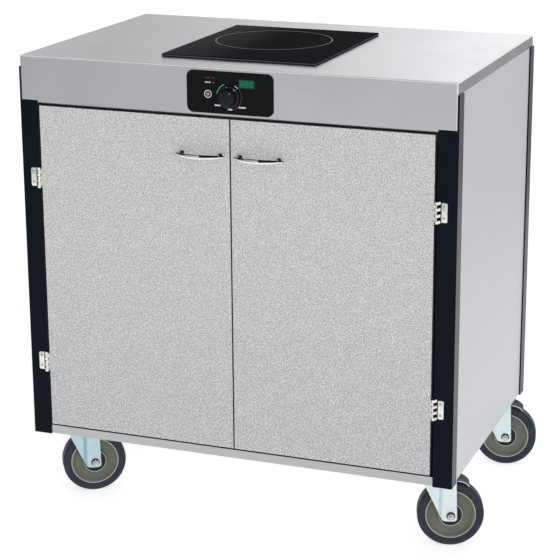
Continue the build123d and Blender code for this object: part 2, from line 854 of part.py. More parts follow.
rotor_bottom_z = fan_bottom_z + fan_wall_t + touch_gap
blade_l = fan_bore_r - fan_blade_gap - fan_hub_r + fan_root_lap
with BuildPart() as fan_rotor:
    with BuildSketch(coil_level(rotor_bottom_z)):
        Circle(fan_hub_r)
    extrude(amount=rotor_h)
    for blade in range(fan_blades):
        blade_turn = 360 / fan_blades * blade
        way = Vector(cos(radians(blade_turn)), sin(radians(blade_turn)), 0)
        root = Vector(centre_x + coil_x, centre_y + coil_y, rotor_bottom_z + rotor_h / 2)
        with BuildSketch(Plane(origin=root + way * (fan_hub_r - fan_root_lap), x_dir=(0, 0, 1), z_dir=way)):
            with Locations(Location((0, 0, 0), fan_blade_pitch)):
                Rectangle(rotor_h, fan_blade_t)
        extrude(amount=blade_l)
    with BuildSketch(coil_level(rotor_bottom_z)):
        Circle(fan_pin_r + pin_running_gap)
    extrude(amount=rotor_h - fan_wall_t, mode=Mode.SUBTRACT)
keep(fan_rotor, "fan_rotor")

pcb_bottom_z = tray_floor_z + pcb_foot_h
pcb_top_z = pcb_bottom_z + pcb_t
power_spot = (hob_x, pcb_y)
with BuildPart() as power_board:
    with BuildSketch(level(pcb_bottom_z)):
        with Locations(power_spot):
            Rectangle(board_w, board_d)
    extrude(amount=pcb_t)
    with BuildSketch(level(tray_floor_z)):
        with Locations(power_spot):
            with GridLocations(board_w - 2 * pcb_foot_h, board_d - 2 * pcb_foot_h, 2, 2):
                Circle(pcb_foot_h / 2)
    extrude(amount=pcb_foot_h)
    with BuildSketch(level(pcb_top_z)):
        with Locations((hob_x + choke_x, pcb_y)):
            Circle(choke_r)
            Circle(choke_r / 2, mode=Mode.SUBTRACT)
    extrude(amount=choke_h)
    with BuildSketch(level(pcb_top_z)):
        with Locations((hob_x + capacitor_x, pcb_y)):
            with GridLocations(0, capacitor_d + pcb_foot_h, 1, 2):
                Rectangle(capacitor_w, capacitor_d)
    extrude(amount=capacitor_h)
with BuildPart() as heat_sink:
    with BuildSketch(level(pcb_top_z)):
        with Locations((hob_x + sink_x, pcb_y)):
            Rectangle(sink_w, sink_d)
    extrude(amount=sink_base_t)
    with BuildSketch(level(pcb_top_z + sink_base_t)):
        with Locations((hob_x + sink_x, pcb_y)):
            with GridLocations((sink_w - sink_fin_t) / (sink_fins - 1), 0, sink_fins, 1):
                Rectangle(sink_fin_t, sink_d)
    extrude(amount=sink_h - sink_base_t)
keep_together([power_board, heat_sink], "power_board")

# Control panel
with BuildPart() as control_panel:
    with BuildSketch(facing_front(-half_d)):
        with Locations((0, panel_z)):
            RectangleRounded(panel_w, panel_h, panel_corner_r)
    extrude(amount=panel_t)
    fillet(control_panel.faces().sort_by(Axis.Y)[0].edges(), radius=panel_edge_r)
    with BuildSketch(facing_front(-panel_face)):
        with Locations((dial_x, dial_z)):
            Circle(shaft_hole_r)
        with Locations((display_x, worktop_h - display_below_top)):
            Rectangle(display_w, display_h)
        with Locations(*[(lamp_x, worktop_h - drop) for drop in lamp_below_top]):
            Circle(lamp_r)
        with Locations((button_x, button_z)):
            Circle(button_r)
    extrude(amount=-panel_t, mode=Mode.SUBTRACT)
keep(control_panel, "control_panel")

with BuildPart() as display_window:
    with BuildSketch(facing_front(-panel_face + touch_gap)):
        with Locations((display_x, worktop_h - display_below_top)):
            Rectangle(display_w, display_h)
    extrude(amount=-display_t)
keep(display_window, "display_window")

with BuildPart() as indicator_lamps:
    with BuildSketch(facing_front(-panel_face)):
        with Locations(*[(lamp_x, worktop_h - drop) for drop in lamp_below_top]):
            Circle(lamp_r)
    extrude(amount=-lamp_l)
    fillet(indicator_lamps.edges().group_by(Axis.Y)[0], radius=lamp_r / 3)
keep(indicator_lamps, "indicator_lamps")

with BuildPart() as control_box:
    with BuildSketch(facing_front(-half_d + steel_t)):
        with Locations((0, panel_z)):
            Rectangle(box_w + 2 * box_flange, box_h + 2 * box_flange)
    extrude(amount=-box_t)
    with BuildSketch(facing_front(-half_d + steel_t)):
        with Locations((0, panel_z)):
            Rectangle(box_w, box_h)
    extrude(amount=-box_d)
    with BuildSketch(facing_front(-half_d + steel_t)):
        with Locations((0, panel_z)):
            Rectangle(box_w - 2 * box_t, box_h - 2 * box_t)
    extrude(amount=-(box_d - box_t), mode=Mode.SUBTRACT)
keep(control_box, "control_box")

with BuildPart() as control_board:
    with BuildSketch(facing_front(-control_pcb_face)):
        with Locations((0, panel_z)):
            Rectangle(box_w - 2 * box_t - 2 * fit_gap, box_h - 2 * box_t - 2 * fit_gap)
    extrude(amount=-pcb_t)
    with BuildSketch(facing_front(-control_pcb_face)):
        with Locations((dial_x, dial_z)):
            Rectangle(encoder_w, encoder_w)
    extrude(amount=encoder_h)
    with BuildSketch(facing_front(-control_pcb_face)):
        with Locations((button_x, button_z)):
            Rectangle(encoder_w / 2, encoder_w / 2)
    extrude(amount=encoder_h)
    with BuildSketch(facing_front(-control_pcb_face + pcb_t)):
        with Locations((0, panel_z)):
            with GridLocations(box_w - 4 * pcb_foot_h, box_h - 3 * pcb_foot_h, 2, 2):
                Circle(pcb_foot_h / 2)
    extrude(amount=-(control_pcb_face - pcb_t - box_back - box_t))
    with BuildSketch(facing_front(-control_pcb_face - encoder_h)):
        with Locations((dial_x, dial_z)):
            Circle(shaft_r + pin_running_gap)
    extrude(amount=-(encoder_h - pcb_t), mode=Mode.SUBTRACT)
keep(control_board, "control_board")

dial_foot = panel_face + dial_gap
dial_stem_l = dial_foot + dial_h - dial_cap_t - control_pcb_face - pcb_t
with BuildPart() as dial_shaft:
    with BuildSketch(facing_front(-control_pcb_face - pcb_t)):
        with Locations((dial_x, dial_z)):
            Circle(shaft_r)
    extrude(amount=dial_stem_l)
keep(dial_shaft, "dial_shaft")

with BuildPart() as dial:
    with BuildSketch(facing_front(-dial_foot)):
        with Locations((dial_x, dial_z)):
            Circle(dial_r)
    extrude(amount=dial_skirt_h)
    fillet(dial.faces().sort_by(Axis.Y)[0].edges(), radius=dial_skirt_h / 3)
    body_plane = facing_front(-dial_foot - dial_skirt_h)
    top_plane = facing_front(-dial_foot - dial_h + dial_bar_h)
    with BuildSketch(body_plane):
        with Locations((dial_x, dial_z)):
            Circle(dial_body_r)
    with BuildSketch(top_plane):
        with Locations((dial_x, dial_z)):
            Circle(dial_body_top_r)
    loft()
    with BuildSketch(body_plane):
        with Locations((dial_x, dial_z)):
            with PolarLocations(dial_body_r + dial_flute_r / 2, dial_flutes):
                Circle(dial_flute_r)
    extrude(amount=dial_h, mode=Mode.SUBTRACT)
    with BuildSketch(top_plane):
        with Locations(Location((dial_x, dial_z, 0), dial_angle)):
            SlotOverall(2 * dial_body_top_r - dial_flute_r, dial_bar_w, rotation=90)
    extrude(amount=dial_bar_h)
    fillet(dial.faces().sort_by(Axis.Y)[0].edges(), radius=dial_bar_h / 3)
    with BuildSketch(facing_front(-dial_foot)):
        with Locations((dial_x, dial_z)):
            Circle(shaft_r)
    extrude(amount=dial_h - dial_cap_t, mode=Mode.SUBTRACT)
keep(dial, "dial")

button_back = half_d - fit_gap
with BuildPart() as power_button:
    with BuildSketch(facing_front(-panel_face - button_proud)):
        with Locations((button_x, button_z)):
            Circle(button_r - button_gap)
    extrude(amount=-(panel_face + button_proud - button_back))
    fillet(power_button.faces().sort_by(Axis.Y)[0].edges(), radius=panel_edge_r)
    with BuildSketch(facing_front(-button_back)):
        with Locations((button_x, button_z)):
            Circle(button_flange_r)
    extrude(amount=-button_flange_t)
    stem_l = button_back - button_flange_t - control_pcb_face - encoder_h - button_travel - touch_gap
    with BuildSketch(facing_front(-button_back + button_flange_t)):
        with Locations((button_x, button_z)):
            Circle(button_stem_r)
    extrude(amount=-stem_l)
keep(power_button, "power_button")


# Casters
def make_caster(name, side, end, turn, brake):
    """One caster below its top plate, its wheel trailing at an angle from +X."""
    way = Vector(cos(radians(turn)), sin(radians(turn)), 0)
    axle_way = Vector(sin(radians(turn)), -cos(radians(turn)), 0)
    swivel = Vector(centre_x + side * caster_x, centre_y + end * caster_y, 0)
    hub = swivel + way * trail + Vector(0, 0, wheel_r)

    def across(out):
        """Upright plane square to the axle, its origin on the wheel's axis, out towards the front."""
        return Plane(origin=hub + axle_way * out, x_dir=way, z_dir=axle_way)

    def flat(height):
        """Level plane turned with the fork, its origin on the swivel axis."""
        return Plane(origin=swivel + Vector(0, 0, height), x_dir=way, z_dir=(0, 0, 1))

    leg_top = crown_top_z - wheel_r
    leg_plan = [
        (trail + leg_right + leg_t, leg_inner),
        (trail - spread_start, leg_inner),
        (trail - spread_end, leg_inner + leg_spread),
        (trail - leg_left_top - leg_t, leg_inner + leg_spread),
        (trail - leg_left_top - leg_t, leg_outer + leg_spread),
        (trail - spread_end, leg_outer + leg_spread),
        (trail - spread_start, leg_outer),
        (trail + leg_right + leg_t, leg_outer),
    ]
    crown_plan = [
        (trail - leg_left_top, leg_outer + leg_spread),
        (trail - spread_end, leg_outer + leg_spread),
        (trail - spread_start, leg_outer),
    ]
    king_head_z = mount_z - touch_gap - king_head_h
    with BuildPart() as fork:
        with BuildSketch(across(leg_outer + leg_spread)) as leg_shape:
            with BuildLine():
                Polyline(
                    (-leg_left_top, leg_top),
                    (leg_right_top, leg_top),
                    (leg_right, -leg_bottom_drop),
                    (-leg_left_bottom + leg_bottom_drop, -leg_bottom_drop),
                    (-leg_left_bottom, -leg_left_bottom_drop),
                    close=True,
                )
            make_face()
            fillet(leg_shape.vertices().group_by(Axis.Z)[0], radius=leg_round_r)
        extrude(amount=-2 * (leg_outer + leg_spread))
        with BuildSketch(flat(0)):
            for outwards in (-1, 1):
                with BuildLine():
                    Polyline(*[(x, outwards * y) for x, y in leg_plan], close=True)
                make_face()
        extrude(amount=crown_top_z, mode=Mode.INTERSECT)
        with BuildSketch(flat(crown_top_z - crown_t)):
            with BuildLine():
                Polyline(*crown_plan, *[(x, -y) for x, y in reversed(crown_plan)], close=True)
            make_face()
            Circle(crown_r)
        extrude(amount=crown_t)
        for bottom, top, disc_r in (
            (crown_top_z, crown_top_z + race_h, race_r),
            (crown_top_z + race_h, king_head_z, king_pin_r),
            (king_head_z, king_head_z + king_head_h, king_head_r),
        ):
            with BuildSketch(flat(bottom)):
                Circle(disc_r)
            extrude(amount=top - bottom)
        if brake:
            with BuildSketch(across(leg_outer + touch_gap)):
                with Locations((pedal_pin_x, pedal_pin_up)):
                    Circle(pedal_pin_r)
            extrude(amount=-2 * (leg_outer + touch_gap))
        with BuildSketch(across(leg_outer)):
            Circle(axle_r)
        extrude(amount=-2 * leg_outer, mode=Mode.SUBTRACT)
    keep(fork, f"{name}_fork")

    with BuildPart() as axle:
        with BuildSketch(across(leg_outer + axle_nut_h + axle_tip)):
            Circle(axle_r)
        extrude(amount=-(2 * leg_outer + 2 * axle_nut_h + axle_tip))
        for face in (leg_outer, -leg_outer - axle_nut_h):
            with BuildSketch(across(face)):
                RegularPolygon(axle_nut / 2, 6, major_radius=False)
            extrude(amount=axle_nut_h)
    keep(axle, f"{name}_axle")

    with BuildPart() as wheel:
        profile_plane = Plane(origin=hub, x_dir=(0, 0, 1), z_dir=way)
        with BuildSketch(profile_plane):
            with BuildLine():
                Polyline(
                    (axle_r + axle_gap, 0),
                    (axle_r + axle_gap, hub_half_w),
                    (hub_r, hub_half_w),
                    (hub_r, guard_half_w),
                    (guard_r, guard_half_w),
                    (guard_r, core_half_w),
                    (guard_r + core_rim_t, core_half_w),
                    (guard_r + core_rim_t + core_slope, web_half_w),
                    (core_r - core_rim_t - core_slope, web_half_w),
                    (core_r - core_rim_t, core_half_w),
                    (core_r, core_half_w),
                    (core_r, 0),
                    close=True,
                )
            make_face()
            mirror(about=Plane.XZ)
        revolve(axis=Axis(hub, axle_way))
    keep(wheel, f"{name}_wheel")

    with BuildPart() as tread:
        with BuildSketch(across(-tread_half_w)):
            Circle(wheel_r)
            Circle(core_r, mode=Mode.SUBTRACT)
        extrude(amount=2 * tread_half_w)
        outer_rims = tread.edges().filter_by(GeomType.CIRCLE).sort_by(SortBy.RADIUS)[-2:]
        fillet(outer_rims, radius=tread_edge_r)
    keep(tread, f"{name}_tread")

    if brake:
        make_pedal(name, across)


def make_pedal(name, across):
    """Brake pedal over the tread: an eye on the fork's pin, an arched plate and a ribbed pad."""
    end_r = wheel_r + pedal_gap
    lean_deg = (pedal_start_deg + pedal_end_deg) / 2
    half = radians(pedal_end_deg - pedal_start_deg) / 2
    arch_up = ((end_r + pedal_rise) ** 2 - end_r ** 2) / (2 * (end_r + pedal_rise - end_r * cos(half)))
    inner_r = end_r + pedal_rise - arch_up
    outer_r = inner_r + pedal_t
    half_deg = degrees(asin(end_r * sin(half) / inner_r))
    start_deg, end_deg = lean_deg - half_deg, lean_deg + half_deg
    pad_start_deg = start_deg + pad_start * (end_deg - start_deg)

    def spot(r, deg):
        """Point about the arch's centre, its angle measured from straight up."""
        return (arch_up * sin(radians(lean_deg)) + r * sin(radians(deg)),
                arch_up * cos(radians(lean_deg)) + r * cos(radians(deg)))

    def arc_sector(from_r, first_r, last_r, from_deg):
        """Outline between an arc and a second one, whose radius runs from the first to the last."""
        middle = (from_deg + end_deg) / 2
        ThreePointArc(spot(from_r, from_deg), spot(from_r, middle), spot(from_r, end_deg))
        Line(spot(from_r, end_deg), spot(last_r, end_deg))
        ThreePointArc(spot(last_r, end_deg), spot((first_r + last_r) / 2, middle), spot(first_r, from_deg))
        Line(spot(first_r, from_deg), spot(from_r, from_deg))

    with BuildPart() as pedal:
        with BuildSketch(across(-pedal_half_w)):
            with BuildLine():
                arc_sector(inner_r, outer_r, outer_r, start_deg)
            make_face()
            with Locations((pedal_pin_x, pedal_pin_up)):
                Circle(pedal_eye_r)
            with BuildLine():
                Polyline(
                    (pedal_pin_x, pedal_pin_up),
                    (pedal_pin_x + pedal_eye_r, pedal_pin_up),
                    spot(outer_r, pad_start_deg),
                    spot(inner_r, start_deg),
                    close=True,
                )
            make_face()
            with Locations((pedal_pin_x, pedal_pin_up)):
                Circle(pedal_pin_r + pin_running_gap, mode=Mode.SUBTRACT)
        extrude(amount=2 * pedal_half_w)
    with BuildPart() as pad:
        with BuildSketch(across(-pedal_half_w)):
            with BuildLine():
                arc_sector(outer_r, outer_r + pad_t, outer_r + pad_tip_t, pad_start_deg)
            make_face()
        extrude(amount=2 * pedal_half_w)
        rib_pitch = (2 * pedal_half_w - pad_rib_w) / (pad_ribs - 1)
        for rib in range(pad_ribs):
            with BuildSketch(across(-pedal_half_w + rib * rib_pitch)):
                with BuildLine():
                    arc_sector(outer_r + pad_tip_t / 2, outer_r + pad_t + pad_rib_h,
                               outer_r + pad_tip_t + pad_rib_h, pad_start_deg)
                make_face()
            extrude(amount=pad_rib_w)
    keep_together([pedal, pad], f"{name}_brake_pedal")


for caster_name, (side, end, turn, brake) in casters.items():
    make_caster(caster_name, side, end, turn, brake)

with BuildPart() as caster_plates:
    for side, end, turn, brake in casters.values():
        spot = (side * caster_x, end * caster_y)
        with BuildSketch(level(mount_z)):
            with Locations(spot):
                RectangleRounded(plate_w, plate_d, plate_corner_r)
        extrude(amount=-plate_t)
        with BuildSketch(level(crown_top_z + race_h + race_gap)):
            with Locations(spot):
                Circle(cup_r)
        extrude(amount=mount_z - plate_t - crown_top_z - race_h - race_gap)
        with BuildSketch(level(mount_z)):
            with Locations(spot):
                Circle(king_pin_r + pin_running_gap)
        extrude(amount=-(mount_z - crown_top_z), mode=Mode.SUBTRACT)
        with BuildSketch(level(mount_z)):
            with Locations(spot):
                Circle(king_head_r + touch_gap)
        extrude(amount=-(king_head_h + 2 * touch_gap), mode=Mode.SUBTRACT)
        with BuildSketch(level(mount_z)):
            with Locations(spot):
                with GridLocations(bolt_pitch_x, bolt_pitch_y, 2, 2):
                    Circle(bolt_r)
        extrude(amount=-plate_t, mode=Mode.SUBTRACT)
keep(caster_plates, "caster_plates")

with BuildPart() as caster_bolts:
    for side, end, turn, brake in casters.values():
        bolt_bottom_z = mount_z - plate_t - bolt_nut_h
        for bottom, top, hexagonal in (
            (bolt_bottom_z, mount_z - plate_t, True),
            (mount_z - plate_t, floor_z, False),
            (floor_z, floor_z + bolt_head_h, True),
        ):
            with BuildSketch(level(bottom)):
                with Locations((side * caster_x, end * caster_y)):
                    with GridLocations(bolt_pitch_x, bolt_pitch_y, 2, 2):
                        if hexagonal:
                            RegularPolygon(bolt_hex / 2, 6, major_radius=False)
                        else:
                            Circle(bolt_r)
            extrude(amount=top - bottom)
keep(caster_bolts, "caster_bolts")

print(f"cabinet centre: {centre_x:.3f}, {centre_y:.3f}")
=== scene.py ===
"""Looks of a mobile cooking cart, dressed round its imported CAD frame.

The cart's own sizes are given in millimetres, measured from the middle of the cabinet on the floor,
with x to the right, y to the back and z up. Meshes are written in metres in the frame of the model.
"""
import json
import logging
from dataclasses import dataclass, replace
from enum import Enum
from functools import cache
from math import cos, pi, radians, sin
from typing import Callable, Sequence

import bmesh
import bpy
import numpy as np
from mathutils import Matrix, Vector


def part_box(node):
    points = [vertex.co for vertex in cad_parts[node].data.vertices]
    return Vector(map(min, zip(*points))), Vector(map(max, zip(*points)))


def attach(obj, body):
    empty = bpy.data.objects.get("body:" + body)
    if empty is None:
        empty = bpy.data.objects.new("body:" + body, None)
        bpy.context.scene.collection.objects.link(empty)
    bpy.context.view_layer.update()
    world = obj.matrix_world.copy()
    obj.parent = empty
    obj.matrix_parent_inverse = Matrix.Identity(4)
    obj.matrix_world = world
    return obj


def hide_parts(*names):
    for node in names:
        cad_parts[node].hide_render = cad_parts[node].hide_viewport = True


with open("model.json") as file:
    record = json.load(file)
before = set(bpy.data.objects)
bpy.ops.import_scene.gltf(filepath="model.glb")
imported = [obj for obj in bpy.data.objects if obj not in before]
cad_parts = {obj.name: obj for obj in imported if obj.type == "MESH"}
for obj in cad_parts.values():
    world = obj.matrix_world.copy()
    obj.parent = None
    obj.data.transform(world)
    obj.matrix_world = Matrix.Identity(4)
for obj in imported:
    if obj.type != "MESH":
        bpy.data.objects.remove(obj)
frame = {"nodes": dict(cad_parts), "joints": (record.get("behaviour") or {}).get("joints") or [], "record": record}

LOG = logging.getLogger("cart")
MM = 0.001
FULL_TURN = 2 * pi
MERGE_M = 1e-7
IMAGE_SIDE_PX = 560
WORKTOP_Z = 901.7
DIAL_X, DIAL_Z = -1.2, 849.0
PRINT_HEIGHT = 0.04
EDGED_DEG, ROUND_DEG = 35.0, 60.0
LOWEST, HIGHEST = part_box("worktop")
CABINET_MIDDLE = np.array([(LOWEST.x + HIGHEST.x) / 2, (LOWEST.y + HIGHEST.y) / 2, 0.0])
Colour = tuple[float, float, float]
Point = tuple[float, float, float]


def place(points_mm: np.ndarray) -> np.ndarray:
    """Turn cabinet millimetres into metres in the model's frame."""
    return np.asarray(points_mm, float) * MM + CABINET_MIDDLE


def place_back(point: Vector) -> np.ndarray:
    """Turn metres in the model's frame into cabinet millimetres."""
    return (np.array(point) - CABINET_MIDDLE) / MM


def box_of(node: str) -> list[np.ndarray]:
    """Lowest and highest corner of a CAD node in cabinet millimetres."""
    return [place_back(corner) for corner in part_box(node)]


def joint_place(name: str) -> np.ndarray:
    """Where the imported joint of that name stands, in cabinet millimetres."""
    return place_back(next(row["pos_m"] for row in frame["joints"] if row["name"] == name))


# Shader maths

def operator(operation: str, swapped: bool = False) -> Callable:
    """Make the method of one arithmetic operator.

    Args:
        operation: the Math node's operation.
        swapped: whether the other value comes first.

    Returns:
        A method that adds the node and gives its result.
    """
    def method(wire: "Wire", other: "Wire | float") -> "Wire":
        """Add the Math node."""
        values = (other, wire) if swapped else (wire, other)
        return wire.paint.add("ShaderNodeMath", dict(enumerate(values)), operation=operation)
    return method


@dataclass(frozen=True, eq=False)
class Wire:
    """A shader socket that takes part in Python arithmetic; each operator adds one Math node."""

    paint: "Paint"
    socket: bpy.types.NodeSocket | None

    __add__, __radd__ = operator("ADD"), operator("ADD", swapped=True)
    __sub__, __rsub__ = operator("SUBTRACT"), operator("SUBTRACT", swapped=True)
    __mul__, __rmul__ = operator("MULTIPLY"), operator("MULTIPLY", swapped=True)
    __truediv__, __mod__, __pow__ = operator("DIVIDE"), operator("FLOORED_MODULO"), operator("POWER")
    __gt__, __lt__ = operator("GREATER_THAN"), operator("LESS_THAN")

    def __abs__(self) -> "Wire":
        """Size without sign."""
        return self.paint.add("ShaderNodeMath", {0: self}, operation="ABSOLUTE")

    def squeezed(self, low: float, high: float) -> "Wire":
        """Spread the range from low to high over 0 to 1, clamped."""
        return self.paint.add("ShaderNodeMapRange", {0: self, 1: low, 2: high}, clamp=True)


class Paint:
    """The node tree of a material or of the world."""

    def __init__(self, owner: bpy.types.Material | bpy.types.World) -> None:
        """Take the owner's tree over and empty it."""
        owner.use_nodes = True
        self.nodes = owner.node_tree.nodes
        self.links = owner.node_tree.links
        self.nodes.clear()

    def add(self, kind: str, sockets: dict | None = None, out: int | str = 0, **settings: object) -> Wire:
        """Add a node.

        Args:
            kind: Blender's name of the node's type.
            sockets: values or wires, by the input's name or number.
            out: name or number of the output that is wanted.
            settings: the node's own settings, which come before its sockets.

        Returns:
            That output.
        """
        node = self.nodes.new(kind)
        for key, value in settings.items():
            setattr(node, key, value)
        for key, value in (sockets or {}).items():
            if isinstance(value, Wire):
                self.links.new(value.socket, node.inputs[key])
            elif node.inputs[key].type == "RGBA":
                node.inputs[key].default_value = (*value, 1.0)
            else:
                node.inputs[key].default_value = value
        return Wire(self, node.outputs[out] if node.outputs else None)

    def position(self, stretch: Colour = (1.0, 1.0, 1.0), turn: float = 0.0,
                 move: Colour = (0.0, 0.0, 0.0)) -> Wire:
        """Object coordinates in metres, scaled along each axis.

        Args:
            stretch: factor along x, y and z.
            turn: turn about z in radians.
            move: shift added after the scale.

        Returns:
            The vector.
        """
        here = self.add("ShaderNodeTexCoord", out="Object")
        return self.add("ShaderNodeMapping", {"Vector": here, "Location": move, "Rotation": (0.0, 0.0, turn),
                                              "Scale": stretch})

    def part(self, vector: Wire, axis: str) -> Wire:
        """One component, X, Y or Z, of a vector."""
        return self.add("ShaderNodeSeparateXYZ", {0: vector}, axis)

    def facing(self, axis: str) -> Wire:
        """One component of the surface's true normal."""
        return self.part(self.add("ShaderNodeNewGeometry", out="True Normal"), axis)

    def noise(self, vector: Wire, scale: float, detail: float = 2.0, rough: float = 0.5) -> Wire:
        """Smooth noise between 0 and 1.

        Args:
            vector: where it is read.
            scale: cells in each unit of the vector.
            detail: octaves.
            rough: share of each finer octave.

        Returns:
            The noise.
        """
        sockets = {"Vector": vector, "Scale": scale, "Detail": detail, "Roughness": rough}
        return self.add("ShaderNodeTexNoise", sockets)

    def blend(self, factor: Wire, first: Colour | Wire, second: Colour | Wire) -> Wire:
        """Mix two colours; factor 0 gives the first and 1 the second."""
        return self.add("ShaderNodeMix", {0: factor, 6: first, 7: second}, 2, data_type="RGBA")

    def bump(self, height: Wire, distance: float, strength: float = 1.0) -> Wire:
        """Turn a height between 0 and 1 into a normal; distance is the relief in metres."""
        return self.add("ShaderNodeBump", {"Height": height, "Distance": distance, "Strength": strength})


def lighter(colour: Colour, factor: float) -> Colour:
    """Scale a colour's brightness."""
    return tuple(min(1.0, channel * factor) for channel in colour)


def per_metre(size_mm: float) -> float:
    """How many cells of that size fit in a metre."""
    return 1.0 / (size_mm * MM)


# Finishes

@dataclass(frozen=True)
class Finish:
    """What every finish has; each kind adds its own pattern."""

    name: str
    colour: Colour
    roughness: float

    def dress(self) -> bpy.types.Material:
        """Make the material: a Principled shader with the pattern's sockets."""
        material = bpy.data.materials.new(self.name)
        paint = Paint(material)
        shader = paint.add("ShaderNodeBsdfPrincipled", self.pattern(paint))
        paint.add("ShaderNodeOutputMaterial", {"Surface": shader})
        return material

    def pattern(self, paint: Paint) -> dict:
        """Give the shader's sockets."""
        raise NotImplementedError

    def uneven(self, noise: Wire, spread: float) -> Wire:
        """The roughness, made uneven by a noise."""
        return self.roughness + (noise - 0.5) * spread


@dataclass(frozen=True)
class BrushedSteel(Finish):
    """Stainless sheet with a fine brushed grain along x, or along y on faces that look sideways."""

    grain_mm: float = 0.7
    grains_per_m: float = 6.0
    streak: float = 0.03
    cloud_mm: float = 130.0
    cloudy: float = 0.16
    # colour of the painted highlight on the bends, then of the painted shadow on the rim
    painted_bend_lighting: Colour = (0.95, 0.95, 0.96)
    shadow: Colour = (0.01, 0.01, 0.01)
    shadow_above: float = 10.0
    shadow_front: float = -10.0

    def pattern(self, paint: Paint) -> dict:
        """Stretched noise gives the grain, and wide soft noise the uneven rolling of the sheet.

        Bends, whose faces look between up and sideways, get a painted highlight that is almost white. Above one
        height and before one depth, both in metres, the sheet gets a painted shadow, dark as a rim that lies in
        shade.
        """
        fine = per_metre(self.grain_mm)
        along_x = paint.noise(paint.position((self.grains_per_m, fine, fine)), 1.0, 3.0, 0.6)
        along_y = paint.noise(paint.position((fine, self.grains_per_m, fine)), 1.0, 3.0, 0.6)
        grain = along_x + (along_y - along_x) * (abs(paint.facing("X")) > 0.7)
        here = paint.position()
        cloud = paint.noise(here, per_metre(self.cloud_mm), 2.0, 0.4).squeezed(0.3, 0.7)
        shade = (grain - 0.5) * self.streak + (cloud - 0.5) * self.cloudy + 0.5
        sheet = paint.blend(shade, lighter(self.colour, 0.8), lighter(self.colour, 1.2))
        slope = abs(paint.facing("Z"))
        # painted highlight: faces between up and sideways, the bends, turn nearly white and barely metallic
        painted_bend_lighting = (slope > 0.05) * (slope < 0.95)
        # painted shadow: the rim above one height and before one depth is dark
        rim = (paint.part(here, "Z") > self.shadow_above) * (paint.part(here, "Y") < self.shadow_front)
        return {
            "Base Color": paint.blend(rim, paint.blend(painted_bend_lighting, sheet, self.painted_bend_lighting), self.shadow),
            "Metallic": 1.0 - painted_bend_lighting * 0.85,
            "Roughness": self.uneven(grain, 0.08) + (cloud - 0.5) * 0.05,
            "Normal": paint.bump(grain, 0.00002, 0.2),
        }


@dataclass(frozen=True)
class PowderCoat(Finish):
    """Baked paint with a faint orange peel."""

    # colour of the painted sheen on faces that look sideways
    side: Colour
    peel_mm: float = 1.6
    specular: float = 0.06

    def pattern(self, paint: Paint) -> dict:
        """Fine noise gives the peel and wide noise the uneven gloss; faces that look sideways get a paler colour,
        a painted sheen.
        """
        peel = paint.noise(paint.position(), per_metre(self.peel_mm))
        cloud = paint.noise(paint.position((4.0, 4.0, 1.0)), 2.0)
        coat = paint.blend(cloud, lighter(self.colour, 0.85), lighter(self.colour, 1.2))
        return {
            # painted sheen: faces that look sideways take the paler side colour
            "Base Color": paint.blend(abs(paint.facing("X")) > 0.9, coat, self.side),
            "Specular IOR Level": self.specular,
            "Roughness": self.uneven(cloud, 0.12) + (peel - 0.5) * 0.06,
            "Normal": paint.bump(peel, 0.00004, 0.5),
        }


@dataclass(frozen=True)
class Laminate(Finish):
    """Pressed laminate on board: light and dark flecks on the faces, a plain band on the edges."""

    # colour of the painted shade at the bottom of the doors
    low: Colour
    fleck: Colour
    pale: Colour
    band: Colour
    fleck_mm: float
    strength: float

    def pattern(self, paint: Paint) -> dict:
        """Two noises, one for the dark flecks and one for the pale, over a mottle, with painted shade that darkens
        and cools it towards the bottom.
        """
        here = paint.position()
        cells = per_metre(self.fleck_mm)
        dark = paint.noise(here, cells, 3.0, 0.7).squeezed(0.50, 0.70)
        light = paint.noise(paint.position(move=(3.1, 1.7, 2.3)), cells * 1.2, 2.0, 0.6).squeezed(0.52, 0.70)
        mottle = paint.noise(here, cells / 9, 3.0, 0.6)
        # painted shade: towards the bottom the colour falls from the face's colour to the low one
        height = paint.part(here, "Z").squeezed(0.17, 0.60) + (mottle - 0.5) * 0.4
        body = paint.blend(height.squeezed(0.0, 1.0), self.low, self.colour)
        flecked = paint.blend(dark * self.strength, body, self.fleck)
        flecked = paint.blend(light * self.strength, flecked, self.pale)
        edge = (abs(paint.facing("Z")) + abs(paint.facing("X"))) > 0.9
        return {
            "Base Color": paint.blend(edge, flecked, self.band),
            "Roughness": self.roughness + (dark - light) * 0.08,
            "Normal": paint.bump(light - dark, 0.00003, 0.4),
        }


@dataclass(frozen=True)
class SideLaminate(Finish):
    """Plain laminate with a faint mottle and painted light near the floor."""

    mottle_mm: float = 4.0

    def pattern(self, paint: Paint) -> dict:
        """A close mottle with a soft wide one over it, and painted light from the floor that makes it a little
        paler near the floor.
        """
        here = paint.position()
        close = paint.noise(here, per_metre(self.mottle_mm), 4.0, 0.65)
        # painted light: paler towards the floor, as if lit from it
        low = paint.part(here, "Z").squeezed(0.55, 0.25)
        shade = close * 0.35 + paint.noise(here, 6.0) * 0.15 + low * 0.42
        return {
            "Base Color": paint.blend(shade, lighter(self.colour, 0.96), lighter(self.colour, 1.16)),
            "Roughness": self.uneven(close, 0.1),
            "Normal": paint.bump(close, 0.00003, 0.35),
        }


